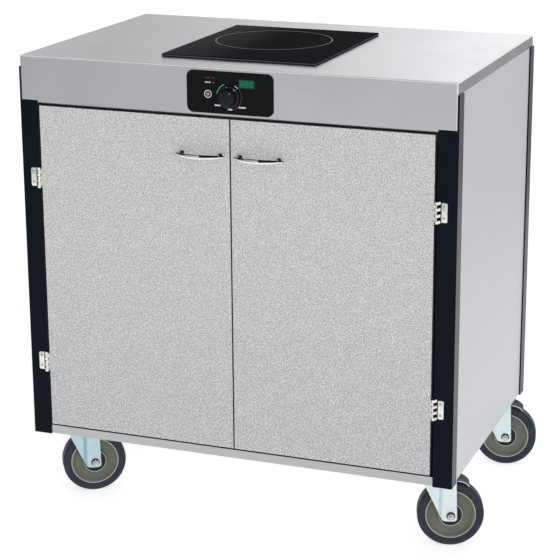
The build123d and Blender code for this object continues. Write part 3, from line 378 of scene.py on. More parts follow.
@dataclass(frozen=True)
class Plating(Finish):
    """Bright plated metal with a soft cast of a second tone; some have a painted shade where they face right."""

    cast: Colour
    metallic: float = 1.0
    patch_mm: float = 9.0
    scratch: float = 0.05
    shade: Colour | None = None

    def pattern(self, paint: Paint) -> dict:
        """Patches of the second tone, fine scratches in the gloss, and any painted shade."""
        patch = paint.noise(paint.position(), per_metre(self.patch_mm), 3.0, 0.6).squeezed(0.35, 0.7)
        scratches = paint.noise(paint.position((90.0, 900.0, 300.0)), 1.0)
        plate = paint.blend(patch, self.colour, self.cast)
        if self.shade:
            # painted shade: faces turned to the right, most of all the fork's crease, darken towards the shade
            # colour
            plate = paint.blend(paint.facing("X").squeezed(0.38, 0.80), plate, self.shade)
        return {
            "Base Color": plate,
            "Metallic": self.metallic,
            "Roughness": self.uneven(scratches, self.scratch * 2) + patch * self.scratch,
            "Normal": paint.bump(scratches, 0.00001, 0.3),
        }


@dataclass(frozen=True)
class BowChrome(Finish):
    """Chrome of the bow handles, with painted reflections: dark blocks, as of a dark room, above the pale floor
    that it mirrors.

    The start, the pitch and the length of the bows are in metres along x.
    """

    # colour of the painted reflections
    dark: Colour = (0.012, 0.013, 0.015)
    start: float = -0.12864
    pitch: float = 0.116
    length: float = 0.099

    def pattern(self, paint: Paint) -> dict:
        """The share of the way along each bow picks the block of painted reflection, and the upward slope its
        reach.
        """
        along = ((paint.part(paint.position(), "X") - self.start) % self.pitch) / self.length
        slope = paint.facing("Z")
        # painted reflections: dark blocks on faces that look upwards
        first = (along < 0.27) * (slope > 0.12)
        thin = (along > 0.29) * (along < 0.50) * (slope > 0.62)
        second = (along > 0.57) * (slope > 0.02)
        return {
            "Base Color": paint.blend((first + thin + second).squeezed(0.0, 1.0), self.colour, self.dark),
            "Metallic": 1.0,
            "Roughness": self.uneven(paint.noise(paint.position((60.0, 200.0, 200.0)), 1.0), 0.04),
        }


@dataclass(frozen=True)
class Moulded(Finish):
    """Moulded plastic or rubber with a fine grain."""

    grain_mm: float = 1.2
    relief_mm: float = 0.03
    dust: Colour = (0.5, 0.5, 0.5)
    dusty: float = 0.06
    specular: float = 0.5
    coat: float = 0.0

    def pattern(self, paint: Paint) -> dict:
        """Grain in the relief and wide pale scuffs in the colour."""
        here = paint.position()
        grain = paint.noise(here, per_metre(self.grain_mm), 3.0)
        scuff = paint.noise(here, 40.0, 4.0, 0.65).squeezed(0.45, 0.85)
        return {
            "Base Color": paint.blend(scuff * self.dusty, self.colour, self.dust),
            "Roughness": self.uneven(grain, 0.12) + scuff * 0.06,
            "Specular IOR Level": self.specular,
            "Coat Weight": self.coat,
            "Normal": paint.bump(grain, self.relief_mm * MM, 0.5),
        }


@dataclass(frozen=True)
class Glass(Finish):
    """Deep-coloured glass under a smooth skin with faint wipe marks, cloudier at its left end.

    Between two heights in metres its ground sides carry a pale painted highlight.
    """

    specular: float
    coat: float = 0.0
    cloud: float = 0.0
    edge: tuple[float, float] = (0.0, 0.0)
    edge_highlight: Colour = (0.15, 0.15, 0.19)

    def pattern(self, paint: Paint) -> dict:
        """Wide streaks change only the gloss."""
        here = paint.position()
        wipe = paint.noise(paint.position((9.0, 40.0, 9.0), 0.5), 1.0, 4.0, 0.6).squeezed(0.35, 0.8)
        speck = paint.noise(here, 900.0, 1.0).squeezed(0.68, 0.8)
        left = paint.part(here, "X").squeezed(-0.05, -0.20)
        height = paint.part(here, "Z")
        # painted highlight: a pale line along the sides between the two heights
        side = (height > self.edge[0]) * (height < self.edge[1]) * (abs(paint.facing("Z")) < 0.5)
        deep = paint.blend(speck * 0.3, self.colour, lighter(self.colour, 3.0))
        return {
            "Base Color": paint.blend(side, deep, self.edge_highlight),
            "Roughness": self.roughness + wipe * 0.05,
            "Specular IOR Level": self.specular,
            "Coat Weight": (left * self.cloud + self.coat) * (1.0 - 0.25 * wipe),
            "Coat Roughness": 0.04,
        }


@dataclass(frozen=True)
class Wound(Finish):
    """Rings of lacquered wire about the middle of the coil."""

    wire_mm: float = 2.4

    def pattern(self, paint: Paint) -> dict:
        """The distance from the middle, divided into wires, gives the rings."""
        low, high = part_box("induction_coil")
        middle = (low + high) / 2
        here = paint.position(move=(-middle.x, -middle.y, 0.0))
        across = (paint.part(here, "X") ** 2.0 + paint.part(here, "Y") ** 2.0) ** 0.5
        ring = abs((across % (self.wire_mm * MM)) * (2.0 / (self.wire_mm * MM)) - 1.0)
        return {
            "Base Color": paint.blend(ring, self.colour, lighter(self.colour, 0.25)),
            "Metallic": 0.8,
            "Roughness": self.roughness + ring * 0.2,
            "Normal": paint.bump(1.0 - ring, 0.0008),
        }


@dataclass(frozen=True)
class Circuit(Finish):
    """Green board with paler tracks."""

    def pattern(self, paint: Paint) -> dict:
        """The borders between fine cells mark the tracks, and the tone follows the noise between them."""
        here = paint.position()
        borders = paint.add("ShaderNodeTexVoronoi", {"Vector": here, "Scale": 220.0},
                            feature="DISTANCE_TO_EDGE")
        tone = paint.noise(here, 120.0, 3.0)
        board = paint.blend(borders.squeezed(0.02, 0.06), lighter(self.colour, 1.9), self.colour)
        return {
            "Base Color": paint.blend(tone * 0.3, board, (0.02, 0.05, 0.03)),
            "Roughness": self.uneven(tone, 0.1),
        }


@dataclass(frozen=True)
class Glow(Finish):
    """A lit mark, such as a digit."""

    strength: float

    def pattern(self, paint: Paint) -> dict:
        """Even glow with a faint shimmer."""
        shimmer = paint.noise(paint.position(), 2500.0, 1.0)
        return {
            "Base Color": self.colour,
            "Roughness": self.roughness,
            "Emission Color": paint.blend(shimmer, lighter(self.colour, 0.8), self.colour),
            "Emission Strength": self.strength,
        }


@dataclass(frozen=True)
class LampLens(Finish):
    """Dull lens of an unlit lamp, tinted in the upper of the two."""

    upper: Colour

    def pattern(self, paint: Paint) -> dict:
        """The height tells the two lenses apart; fine noise clouds them."""
        low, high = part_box("indicator_lamps")
        here = paint.position()
        cloud = paint.noise(here, 1500.0)
        lens = paint.blend(cloud, lighter(self.colour, 0.7), lighter(self.colour, 1.3))
        return {
            "Base Color": paint.blend(paint.part(here, "Z") > (low.z + high.z) / 2, lens, self.upper),
            "Roughness": self.uneven(cloud, 0.1),
        }


@dataclass(frozen=True)
class Ink(Finish):
    """Screen-printed ink, slightly uneven."""

    def pattern(self, paint: Paint) -> dict:
        """Speckled cover of the print."""
        cover = paint.noise(paint.position(), 1800.0)
        return {
            "Base Color": paint.blend(cover, lighter(self.colour, 0.75), self.colour),
            "Roughness": self.uneven(cover, 0.1),
        }


STAINLESS = BrushedSteel("brushed_stainless", (0.655, 0.67, 0.70), 0.26)
# darker stainless for the floor pan: painted shade for its place low under the cart, and a painted shadow along
# its front rim
SHADED_PAN_STEEL = BrushedSteel("pan_stainless_painted_shade", (0.48, 0.485, 0.495), 0.32, shadow_above=0.1603,
                         shadow_front=-0.2640)
# zinc's shade is the colour of its painted shade
ZINC = Plating("bright_zinc", (0.66, 0.76, 0.79), 0.30, cast=(0.76, 0.83, 0.81), metallic=0.75,
               shade=(0.20, 0.41, 0.50))
STEEL = Plating("bright_steel", (0.62, 0.62, 0.63), 0.25, cast=(0.50, 0.50, 0.52))
# dark steel for pieces painted in shade: the hinge pins in the open knuckles and the washers round the axle
SHADE_PAINTED_STEEL = Plating("shaded_steel", (0.035, 0.042, 0.048), 0.35, cast=(0.07, 0.08, 0.08))
# a dark strip that stands for the shade in the hinge leaves' grooves
SHADE_STRIP = Plating("painted_shade_strip", (0.045, 0.047, 0.036), 0.5, cast=(0.08, 0.08, 0.062), metallic=0.4)
CORE_RIM = Moulded("olive_core_rim", (0.43, 0.44, 0.41), 0.4)
GUARD = Moulded("dark_guard", (0.010, 0.011, 0.011), 0.45, dusty=0.02, specular=0.25)
WHITE_INK = Ink("white_ink", (0.90, 0.91, 0.90), 0.5)
RED_INK = Ink("red_ink", (0.15, 0.030, 0.027), 0.5)
# pale pink for the dial's print and for painted highlights at its lit upper right
PINK_INK_AND_HIGHLIGHT = Ink("pale_pink_ink_and_highlight", (0.62, 0.42, 0.43), 0.5)
GREEN_INK = Ink("green_ink", (0.07, 0.50, 0.26), 0.5)
RING_INK = Ink("ring_ink", (0.16, 0.17, 0.24), 0.35)
DIGITS = Glow("green_digits", (0.03, 0.21, 0.13), 0.5, strength=0.12)

SLOT_FINISH = {
    "stainless": STAINLESS,
    # the posts' side colour is a painted sheen
    "black_paint": PowderCoat("blue_black_powder_coat", (0.0036, 0.0072, 0.0135), 0.30,
                              side=(0.085, 0.09, 0.10)),
    "laminate": Laminate(
        "speckled_laminate", (0.635, 0.635, 0.62), 0.42, low=(0.535, 0.55, 0.57), fleck=(0.11, 0.115, 0.135),
        pale=(0.97, 0.97, 0.97), band=(0.09, 0.09, 0.095), fleck_mm=2.1, strength=1.4625,
    ),
    "side_laminate": SideLaminate("plain_laminate", (0.56, 0.575, 0.605), 0.45),
    "back_board": SideLaminate("back_laminate", (0.50, 0.51, 0.54), 0.5),
    "shelf_board": SideLaminate("shelf_laminate", (0.58, 0.59, 0.61), 0.45),
    "zinc": ZINC,
    "hinge_nickel": Plating("dull_nickel", (0.80, 0.80, 0.73), 0.26, cast=(0.92, 0.91, 0.88), metallic=0.75),
    "chrome": BowChrome("bow_chrome", (0.82, 0.83, 0.81), 0.08),
    "black_glass": Glass("black_hob_glass", (0.008, 0.0075, 0.0105), 0.06, specular=0.0, coat=0.03,
                         cloud=0.11, edge=(0.9033, 0.9049)),
    "gasket": Moulded("silicone_gasket", (0.02, 0.02, 0.02), 0.6),
    "tray_steel": Plating("galvanised_sheet", (0.46, 0.47, 0.49), 0.42, cast=(0.56, 0.57, 0.58),
                          patch_mm=14.0),
    "inner_plastic": Moulded("black_plastic", (0.03, 0.03, 0.032), 0.45),
    "copper": Wound("copper_winding", (0.62, 0.30, 0.14), 0.35),
    "circuit": Circuit("circuit_board", (0.03, 0.14, 0.07), 0.4),
    "panel_black": Moulded("black_panel", (0.0035, 0.0040, 0.0048), 0.30, grain_mm=0.6, relief_mm=0.01,
                           dusty=0.004, specular=0.12),
    "display": Glass("green_window", (0.006, 0.085, 0.055), 0.2, specular=0.15),
    "lamp": LampLens("lamp_lens", (0.16, 0.16, 0.16), 0.35, upper=(0.15, 0.07, 0.065)),
    "knob": Moulded("dark_knob", (0.004, 0.006, 0.013), 0.24, grain_mm=0.8, relief_mm=0.01, dusty=0.006,
                    specular=0.22, coat=0.12),
    "button": Moulded("dark_button", (0.006, 0.0065, 0.007), 0.35, grain_mm=0.8, relief_mm=0.01, dusty=0.005,
                      specular=0.15),
    "steel": STEEL,
    "wheel_core": Moulded("olive_core", (0.112, 0.118, 0.088), 0.38, dust=(0.30, 0.31, 0.26), dusty=0.25),
    "tread": Moulded("slate_tread", (0.016, 0.021, 0.034), 0.5, relief_mm=0.05, dust=(0.10, 0.12, 0.15),
                     dusty=0.2, specular=0.3),
    "pedal": Moulded("ribbed_pad", (0.085, 0.088, 0.092), 0.6, relief_mm=0.06),
    "gland": Moulded("black_nylon", (0.02, 0.02, 0.022), 0.4),
}
NODE_FINISH = {"floor_pan": SHADED_PAN_STEEL}


@cache
def material_of(finish: Finish) -> bpy.types.Material:
    """Give a finish's material, made at its first use."""
    return finish.dress()


def put_on(piece: bpy.types.Object, finish: Finish) -> None:
    """Give a piece that finish alone."""
    piece.data.materials.clear()
    piece.data.materials.append(material_of(finish))


# Surfaces

RIGHT, BACK, UP, FORWARD = (1.0, 0.0, 0.0), (0.0, 1.0, 0.0), (0.0, 0.0, 1.0), (0.0, -1.0, 0.0)


@dataclass(frozen=True)
class Axes:
    """A turned frame in cabinet millimetres: an origin and three unit directions."""

    origin: Point
    x: Point = RIGHT
    y: Point = BACK
    z: Point = UP

    def put(self, local: np.ndarray) -> np.ndarray:
        """Points from this frame to the cabinet's: origin plus each coordinate times its direction."""
        return np.asarray(self.origin) + local @ np.array([self.x, self.y, self.z])

    def raised(self, height: float) -> "Axes":
        """The same frame, moved along its z."""
        return replace(self, origin=tuple(self.put(np.array([0.0, 0.0, height]))))


def facing_front(x: float, z: float, face: float) -> Axes:
    """Frame on an upright face: x to the right, y up and z out towards the front."""
    return Axes((x, face, z), RIGHT, UP, FORWARD)


@dataclass
class Grid:
    """Points in rows and columns; each row is a closed ring, and the rows may join up as well."""

    points: np.ndarray
    rows_close: bool = False

    def quads(self, first: int) -> np.ndarray:
        """Corner numbers of the grid's quads, four in a row; the grid's first point has that number."""
        rows, columns = self.points.shape[:2]
        number = np.arange(rows * columns).reshape(rows, columns) + first
        number = np.concatenate([number, number[:, :1]], axis=1)
        if self.rows_close:
            number = np.concatenate([number, number[:1]], axis=0)
        corners = (number[:-1, :-1], number[1:, :-1], number[1:, 1:], number[:-1, 1:])
        return np.stack(corners, axis=-1).reshape(-1, 4)

    def put(self, axes: Axes) -> "Grid":
        """The grid with its points taken from that frame to the cabinet's."""
        return replace(self, points=axes.put(self.points))


def around(steps: int) -> np.ndarray:
    """Evenly spaced angles of a full circle."""
    return np.linspace(0.0, FULL_TURN, steps, endpoint=False)


def polar(radius: np.ndarray | float, angle: np.ndarray, height: np.ndarray | float) -> np.ndarray:
    """Points (r cos a, r sin a, h) of radii, angles and heights spread over one another."""
    radius, angle, height = np.broadcast_arrays(radius, angle, height)
    return np.stack([radius * np.cos(angle), radius * np.sin(angle), height], axis=-1)


def arc(radius: float, start: float, end: float, steps: int = 32) -> np.ndarray:
    """Points (r cos a, r sin a) between two angles in degrees."""
    return polar(radius, np.radians(np.linspace(start, end, steps)), 0.0)[:, :2]


def circle(radius: float, steps: int) -> np.ndarray:
    """Points (r cos a, r sin a) of a full circle."""
    return polar(radius, around(steps), 0.0)[:, :2]


def unit(rows: np.ndarray) -> np.ndarray:
    """Vectors brought to length 1."""
    return rows / np.linalg.norm(rows, axis=-1, keepdims=True)


def level(flat: np.ndarray, height: float = 0.0) -> np.ndarray:
    """Flat points, all at one height."""
    return np.column_stack([flat, np.full(len(flat), height)])


def left_of(way: np.ndarray) -> np.ndarray:
    """Level direction to the left of each flat one: (x, y) becomes (-y, x, 0)."""
    return level(np.column_stack([-way[:, 1], way[:, 0]]))


def revolve(profile: Sequence, axes: Axes, steps: int = 96, closed: bool = True) -> Grid:
    """Turn a profile about the frame's z axis.

    Args:
        profile: radius and height of each point.
        axes: frame whose z is the axis.
        steps: points round the circle.
        closed: whether the profile's end joins its start.

    Returns:
        The grid.
    """
    profile = np.asarray(profile, float)
    return Grid(axes.put(polar(profile[:, :1], around(steps), profile[:, 1:])), closed)


def rounded(corners: Sequence[tuple[float, float]], radius: float, steps: int = 5) -> np.ndarray:
    """Round the corners of a closed outline.

    Each corner is replaced by a quadratic curve between the points a radius away along its two sides:
    (1-t)^2 a + 2t(1-t) corner + t^2 b. On a short side the curve reaches 0.45 of it.

    Args:
        corners: the outline's corners in order.
        radius: how far along its sides a corner's curve reaches.
        steps: points on each curve.

    Returns:
        The points of the rounded outline.
    """
    corner = np.asarray(corners, float)
    ends = []
    for side in (np.roll(corner, 1, axis=0) - corner, np.roll(corner, -1, axis=0) - corner):
        length = np.linalg.norm(side, axis=1, keepdims=True)
        ends.append(corner + side / length * np.minimum(radius, 0.45 * length))
    t = np.linspace(0.0, 1.0, steps)[None, :, None]
    curve = (1 - t) ** 2 * ends[0][:, None] + 2 * t * (1 - t) * corner[:, None] + t ** 2 * ends[1][:, None]
    return curve.reshape(-1, 2)


def stack_rings(rings: np.ndarray) -> Grid:
    """Join closed rings, and close each end on the middle of its ring."""
    ends = [np.broadcast_to(ring.mean(axis=0), ring.shape)[None] for ring in (rings[0], rings[-1])]
    return Grid(np.concatenate([ends[0], rings, ends[1]]))


def tower(axes: Axes, levels: Sequence[tuple[np.ndarray, float]]) -> Grid:
    """Stack flat outlines at their heights in a frame."""
    return stack_rings(axes.put(np.stack([level(flat, height) for flat, height in levels])))


def shrunk(outline: np.ndarray, step: float) -> np.ndarray:
    """The outline scaled about its middle, so that its furthest points move in by the step."""
    middle = outline.mean(axis=0)
    return middle + (outline - middle) * (1 - step / np.abs(outline - middle).max(axis=0))


def slab(outline: np.ndarray, axes: Axes, bottom: float, top: float, bevel: float = 0.0) -> Grid:
    """Raise an outline between two heights, its upper edge eased.

    Args:
        outline: points of the closed outline in the frame's x and y.
        axes: the frame.
        bottom: height of the lower face.
        top: height of the upper face.
        bevel: how far the upper edge is eased.

    Returns:
        The grid.
    """
    levels = [(outline, bottom), (outline, top - bevel)]
    if bevel:
        inner = shrunk(outline, bevel)
        levels += [(inner * 0.3 + outline * 0.7, top - 0.3 * bevel), (inner, top)]
    return tower(axes, levels)


def block(outline: Sequence, axes: Axes, bottom: float, top: float, ease: float) -> Grid:
    """Raise an outline between two heights, the edges of both ends eased.

    Args:
        outline: points of the closed outline in the frame's x and y.
        axes: the frame.
        bottom: height of the lower face.
        top: height of the upper face.
        ease: how far the edges are eased.

    Returns:
        The grid.
    """
    outline = np.asarray(outline, float)
    inner = shrunk(outline, ease)
    return tower(axes, [(inner, bottom), (outline, bottom + ease), (outline, top - ease), (inner, top)])


def sweep(path: np.ndarray, across: np.ndarray | Point, out: np.ndarray | Point, section: np.ndarray,
          closed: bool = False) -> Grid:
    """Carry a closed section along a path.

    A ring is path + section x times across + section y times out, at each point of the path.

    Args:
        path: points of the path.
        across: direction of the section's x, one for all points or one for each.
        out: direction of the section's y, likewise.
        section: closed section, likewise.
        closed: whether the path's end joins its start.

    Returns:
        The grid.
    """
    across, out = np.broadcast_to(across, path.shape), np.broadcast_to(out, path.shape)
    section = np.broadcast_to(section, (len(path), *np.shape(section)[-2:]))
    rings = path[:, None] + section[..., :1] * across[:, None] + section[..., 1:] * out[:, None]
    return Grid(rings, rows_close=True) if closed else stack_rings(rings)


def ribbon(path: np.ndarray, axes: Axes, width: float, height: float = PRINT_HEIGHT,
           closed: bool = False) -> Grid:
    """Flat printed line along a path in a frame's x and y.

    The line's sides lie half its width to the left and right of the path's direction.

    Args:
        path: points of the path.
        axes: frame of the face.
        width: the line's width.
        height: how far it stands off the face.
        closed: whether the path is a loop.

    Returns:
        The grid.
    """
    loop = np.roll(path, -1, axis=0) - np.roll(path, 1, axis=0)
    way = unit(loop if closed else np.gradient(path, axis=0))
    half = width / 2
    section = [(-half, 0.0), (half, 0.0), (half, height), (-half, height)]
    return sweep(level(path), left_of(way), UP, section, closed).put(axes)


def hexagon(size: float, steps: int = 72) -> np.ndarray:
    """Radius of a hexagon at evenly spaced angles: half its width over flats by the cosine from a flat."""
    from_flat = (around(steps) + pi / 6) % (pi / 3) - pi / 6
    return size / 2 / np.cos(from_flat)


def nut(axes: Axes, size: float, bottom: float, top: float, chamfer: float) -> Grid:
    """Hexagon nut or bolt head, its corners cut by a cone at each end.

    At each height the radius is the smaller of the hexagon's and the cone's.

    Args:
        axes: frame whose z is the bolt's axis.
        size: width over the flats.
        bottom: height of its lower face.
        top: height of its upper face.
        chamfer: height of the cut corners.

    Returns:
        The grid.
    """
    flat = hexagon(size)
    reach = flat.max()
    limits = ((0.0, size * 0.47), (chamfer * 0.5, reach * 0.96), (chamfer, reach))
    cuts = [(bottom + up, limit) for up, limit in limits] + [(top - up, limit) for up, limit in limits[::-1]]
    rings = [polar(np.minimum(flat, limit), around(len(flat)), height) for height, limit in cuts]
    return stack_rings(axes.put(np.stack(rings)))


def thread(axes: Axes, radius: float, bottom: float, top: float, pitch: float = 1.2) -> Grid:
    """Threaded bolt end with a domed tip.

    The radius waves by a few hundredths of itself over each pitch, and follows a quarter circle at the tip.

    Args:
        axes: frame whose z is the bolt's axis.
        radius: the bolt's radius.
        bottom: where the thread starts.
        top: height of the tip.
        pitch: height of one turn.

    Returns:
        The grid.
    """
    dome = radius * 0.35
    height = np.linspace(bottom, top - dome, 4 * max(2, int((top - dome - bottom) / pitch)) + 1)
    wave = radius - 0.04 * radius * (1 - np.cos(FULL_TURN * (height - bottom) / pitch))
    angle = np.linspace(0.0, pi / 2, 6)[1:-1]
    tip = np.column_stack([radius * (0.35 + 0.6 * np.cos(angle)), top - dome + dome * np.sin(angle)])
    profile = [[(0.0, bottom)], np.column_stack([wave, height]), tip, [(0.0, top)]]
    return revolve(np.concatenate(profile), axes, 48, closed=False)


def both_ways(half: Sequence[tuple[float, float]]) -> np.ndarray:
    """Complete a closed profile from its upper half by mirroring the heights."""
    return np.concatenate([half, np.asarray(half)[::-1] * (1.0, -1.0)])


def tube(inner: float, outer: float, bottom: float, top: float, ease: float = 0.3) -> np.ndarray:
    """Section of a tube, its outer edges eased: radius and height of each point."""
    return np.array([(inner, bottom), (outer - ease, bottom), (outer, bottom + ease), (outer, top - ease),
                     (outer - ease, top), (inner, top)])


def curl(axes: Axes, section: np.ndarray, start: float, end: float) -> Grid:
    """Sheet curled about the frame's z: a section of radii and heights, turned between two degrees."""
    angle = np.radians(np.linspace(start, end, 32))[:, None]
    return stack_rings(axes.put(polar(section[:, 0], angle, section[:, 1])))


def cross_head(axes: Axes, radius: float, height: float, depth: float = 0.7) -> Grid:
    """Low domed screw head with a cross recess.

    The height falls with the square of the radius. Two bars through the middle are lowered by the depth,
    each by a ramp of the distance from the bar's edge.

    Args:
        axes: frame whose z is the screw's axis.
        radius: the head's radius.
        height: how far its middle stands up.
        depth: depth of the recess.

    Returns:
        The grid.
    """
    share = np.linspace(0.02, 1.0, 22)[:, None]
    angle, turn = around(64), 0.5
    x, y = np.abs(np.moveaxis(polar(radius * share, angle + turn, 0.0)[..., :2], -1, 0))
    half_width, half_length = radius * 0.17, radius * 0.62
    bars = [np.clip((half_width - beside) / 0.2 + 0.5, 0.0, 1.0)
            * np.clip((half_length - along) / 0.3, 0.0, 1.0) for beside, along in ((y, x), (x, y))]
    dome = height * (1 - 0.75 * share ** 2)
    top = polar(radius * share, angle, dome - depth * np.maximum(*bars))
    return stack_rings(axes.put(np.concatenate([top, top[-1:] * (1.0, 1.0, 0.0)])))


def add_mesh(name: str, grids: Sequence[Grid]) -> bpy.types.Object:
    """Put grids into the scene as one object.

    Args:
        name: the object's name.
        grids: its surfaces, in cabinet millimetres.

    Returns:
        The object.
    """
    points = np.concatenate([grid.points.reshape(-1, 3) for grid in grids])
    firsts = np.cumsum([0] + [grid.points.size // 3 for grid in grids[:-1]])
    quads = np.concatenate([grid.quads(first) for grid, first in zip(grids, firsts)])
    mesh = bpy.data.meshes.new(name)
    mesh.from_pydata(place(points).tolist(), [], quads.tolist())
    made = bpy.data.objects.new(name, mesh)
    bpy.context.scene.collection.objects.link(made)
    return made


def make_piece(name: str, grids: Sequence[Grid], body: str, slot: str, stands_for: Sequence[str] = (),
               finish: Finish | None = None, sharp_deg: float = EDGED_DEG) -> None:
    """Make one piece.

    Args:
        name: the piece's name.
        grids: its surfaces.
        body: the body that it moves with.
        slot: the record's slot of its finish.
        stands_for: CAD nodes that it replaces.
        finish: what it wears, if not the slot's own finish.
        sharp_deg: angle past which an edge stays sharp.
    """
    piece = add_mesh(name, grids)
    work = bmesh.new()
    work.from_mesh(piece.data)
    bmesh.ops.remove_doubles(work, verts=work.verts, dist=MERGE_M)
    bmesh.ops.dissolve_degenerate(work, edges=work.edges, dist=MERGE_M)
    bmesh.ops.recalc_face_normals(work, faces=work.faces)
    work.to_mesh(piece.data)
    work.free()
    piece.data.shade_smooth()
    piece.data.set_sharp_from_angle(angle=radians(sharp_deg))
    put_on(piece, finish or SLOT_FINISH[slot])
    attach(piece, body)
    if stands_for:
        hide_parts(*stands_for)
    LOG.info("made %s: %d faces on %s", name, len(piece.data.polygons), body)


# Sub-assemblies

def dress_nodes() -> None:
    """Give every node that stays as CAD made it the finish of its slot."""
    for row in frame["record"]["subparts"]:
        node, slot = row["node"], row["material_slot"]
        put_on(frame["nodes"][node], NODE_FINISH.get(node, SLOT_FINISH[slot]))
        LOG.info("dressed %s as %s", node, slot)


@dataclass
class Hob:
    """The printed ring on the hob glass."""

    ring_x: float = -28.4
    ring_y: float = 16.6
    ring_r: float = 114.2
    line: float = 2.0
    height: float = 0.05

    def build(self) -> None:
        """Make the ring, a flat line round a full circle."""
        axes = Axes((self.ring_x, self.ring_y, box_of("hob_glass")[1][2]))
        ring = ribbon(circle(self.ring_r, 192), axes, self.line, self.height, closed=True)
        make_piece("hob_ring_print", [ring], "cabinet", "black_glass", finish=RING_INK)


@dataclass
class ControlPanel:
    """Marks printed on the panel, the digits behind its window and the push button."""

    arc_r: float = 24.4
    dash_pitch: float = 2.8
    dash_w: float = 2.4
    button_x: float = -42.2
    button_drop: float = 49.1
    button_flange: float = 3.6
    digit_w: float = 5.6
    digit_h: float = 9.4
    digit_pitch: float = 8.6
    digit_line: float = 1.1

    def marks(self) -> None:
        """Print the arcs round the dial and the label marks; the warm arc's pale pink start is a painted
        highlight.
        """
        face = box_of("control_panel")[0][1]
        dial = facing_front(DIAL_X, DIAL_Z, face)
        for name, path, line, ink in (
            ("cool_arc_print", arc(self.arc_r, 112.0, 167.0), 1.6, GREEN_INK),
            # painted highlight: pale pink where the warm arc starts
            ("warm_arc_start_highlight", arc(self.arc_r - 0.4, 62.0, 43.0, 12), 2.2, PINK_INK_AND_HIGHLIGHT),
            ("warm_arc_print", arc(self.arc_r, 42.0, -68.0), 1.1, RED_INK),
        ):
            make_piece(name, [ribbon(path, dial, line)], "cabinet", "panel_black", finish=ink)
        flat = facing_front(0.0, WORKTOP_Z, face)
        labels = [(-42.6, -27.6, 4, 2.0), (-24.0, -69.2, 4, 2.7), (0.6, -75.6, 3, 2.7), (24.6, -70.6, 5, 2.7)]
        white = [mark for label in labels for mark in self.dashes(flat, *label)]
        white.append(slab(circle(0.8, 24) + (-8.0, -70.6), flat, 0.0, PRINT_HEIGHT))
        make_piece("label_prints", white, "cabinet", "panel_black", finish=WHITE_INK)
        make_piece("upper_label_print", self.dashes(flat, -42.6, -19.1, 4, 2.0), "cabinet", "panel_black",
                   finish=RED_INK)

    def dashes(self, axes: Axes, x: float, y: float, count: int, height: float) -> list[Grid]:
        """A label mark: a row of short bars, each a pitch further along.

        Args:
            axes: frame of the face.
            x: middle of the row.
            y: middle of the row.
            count: number of bars.
            height: thickness of the bars.

        Returns:
            One grid for each bar.
        """
        middles = x + self.dash_pitch * (np.arange(count) - (count - 1) / 2)
        steps = np.array([(-self.dash_w / 2, 0.0), (0.0, 0.0), (self.dash_w / 2, 0.0)])
        return [ribbon(steps + (middle, y), axes, height) for middle in middles]

    def digits(self) -> None:
        """Seven-segment digits, each stroke a short straight line."""
        low, high = box_of("display_window")
        axes = facing_front((low[0] + high[0]) / 2, (low[2] + high[2]) / 2, low[1])
        half_w, half_h = self.digit_w / 2, self.digit_h / 2
        segments = [((-half_w, y), (half_w, y)) for y in (half_h, 0.0, -half_h)]
        segments += [((x, y), (x, y + half_h)) for x in (-half_w, half_w) for y in (0.0, -half_h)]
        strokes = []
        for shift in (-self.digit_pitch, 0.0, self.digit_pitch):
            for start, end in np.array(segments) + (shift, 0.0):
                gap = unit(end - start) * self.digit_line * 0.6
                strokes.append(ribbon(np.linspace(start + gap, end - gap, 3), axes, self.digit_line))
        make_piece("display_digits", strokes, "cabinet", "display", finish=DIGITS)

    def button(self) -> None:
        """Mould the push button: a dished cap, its flange behind the panel and its stem."""
        low, high = box_of("power_button")
        middle_z = WORKTOP_Z - self.button_drop
        back, front = (facing_front(self.button_x, middle_z, face[1]) for face in (high, low))
        length = high[1] - low[1]
        flange = length - self.button_flange
        profile = [
            (0.0, 0.0), (2.2, 0.0), (2.2, flange - 1.2), (10.2, flange - 1.2), (10.2, flange), (8.4, flange),
            (8.4, length - 0.6), (8.1, length - 0.15), (7.6, length), (7.2, length), (5.6, length - 0.25),
            (0.0, length - 0.4),
        ]
        make_piece("push_button", [revolve(profile, back, 72, closed=False)], "on_off_button", "button",
                   ["power_button"])
        symbol = [ribbon(circle(6.6, 64), front, 1.5, closed=True),
                  ribbon(np.array([(0.0, 0.2), (0.0, 1.6), (0.0, 3.0)]), front, 1.2),
                  ribbon(arc(2.0, 130.0, 410.0, 33), front, 1.1)]
        make_piece("button_print", symbol, "on_off_button", "button", finish=WHITE_INK)

    def build(self) -> None:
        """Make the prints, the digits and the button."""
        self.marks()
        self.digits()
        self.button()


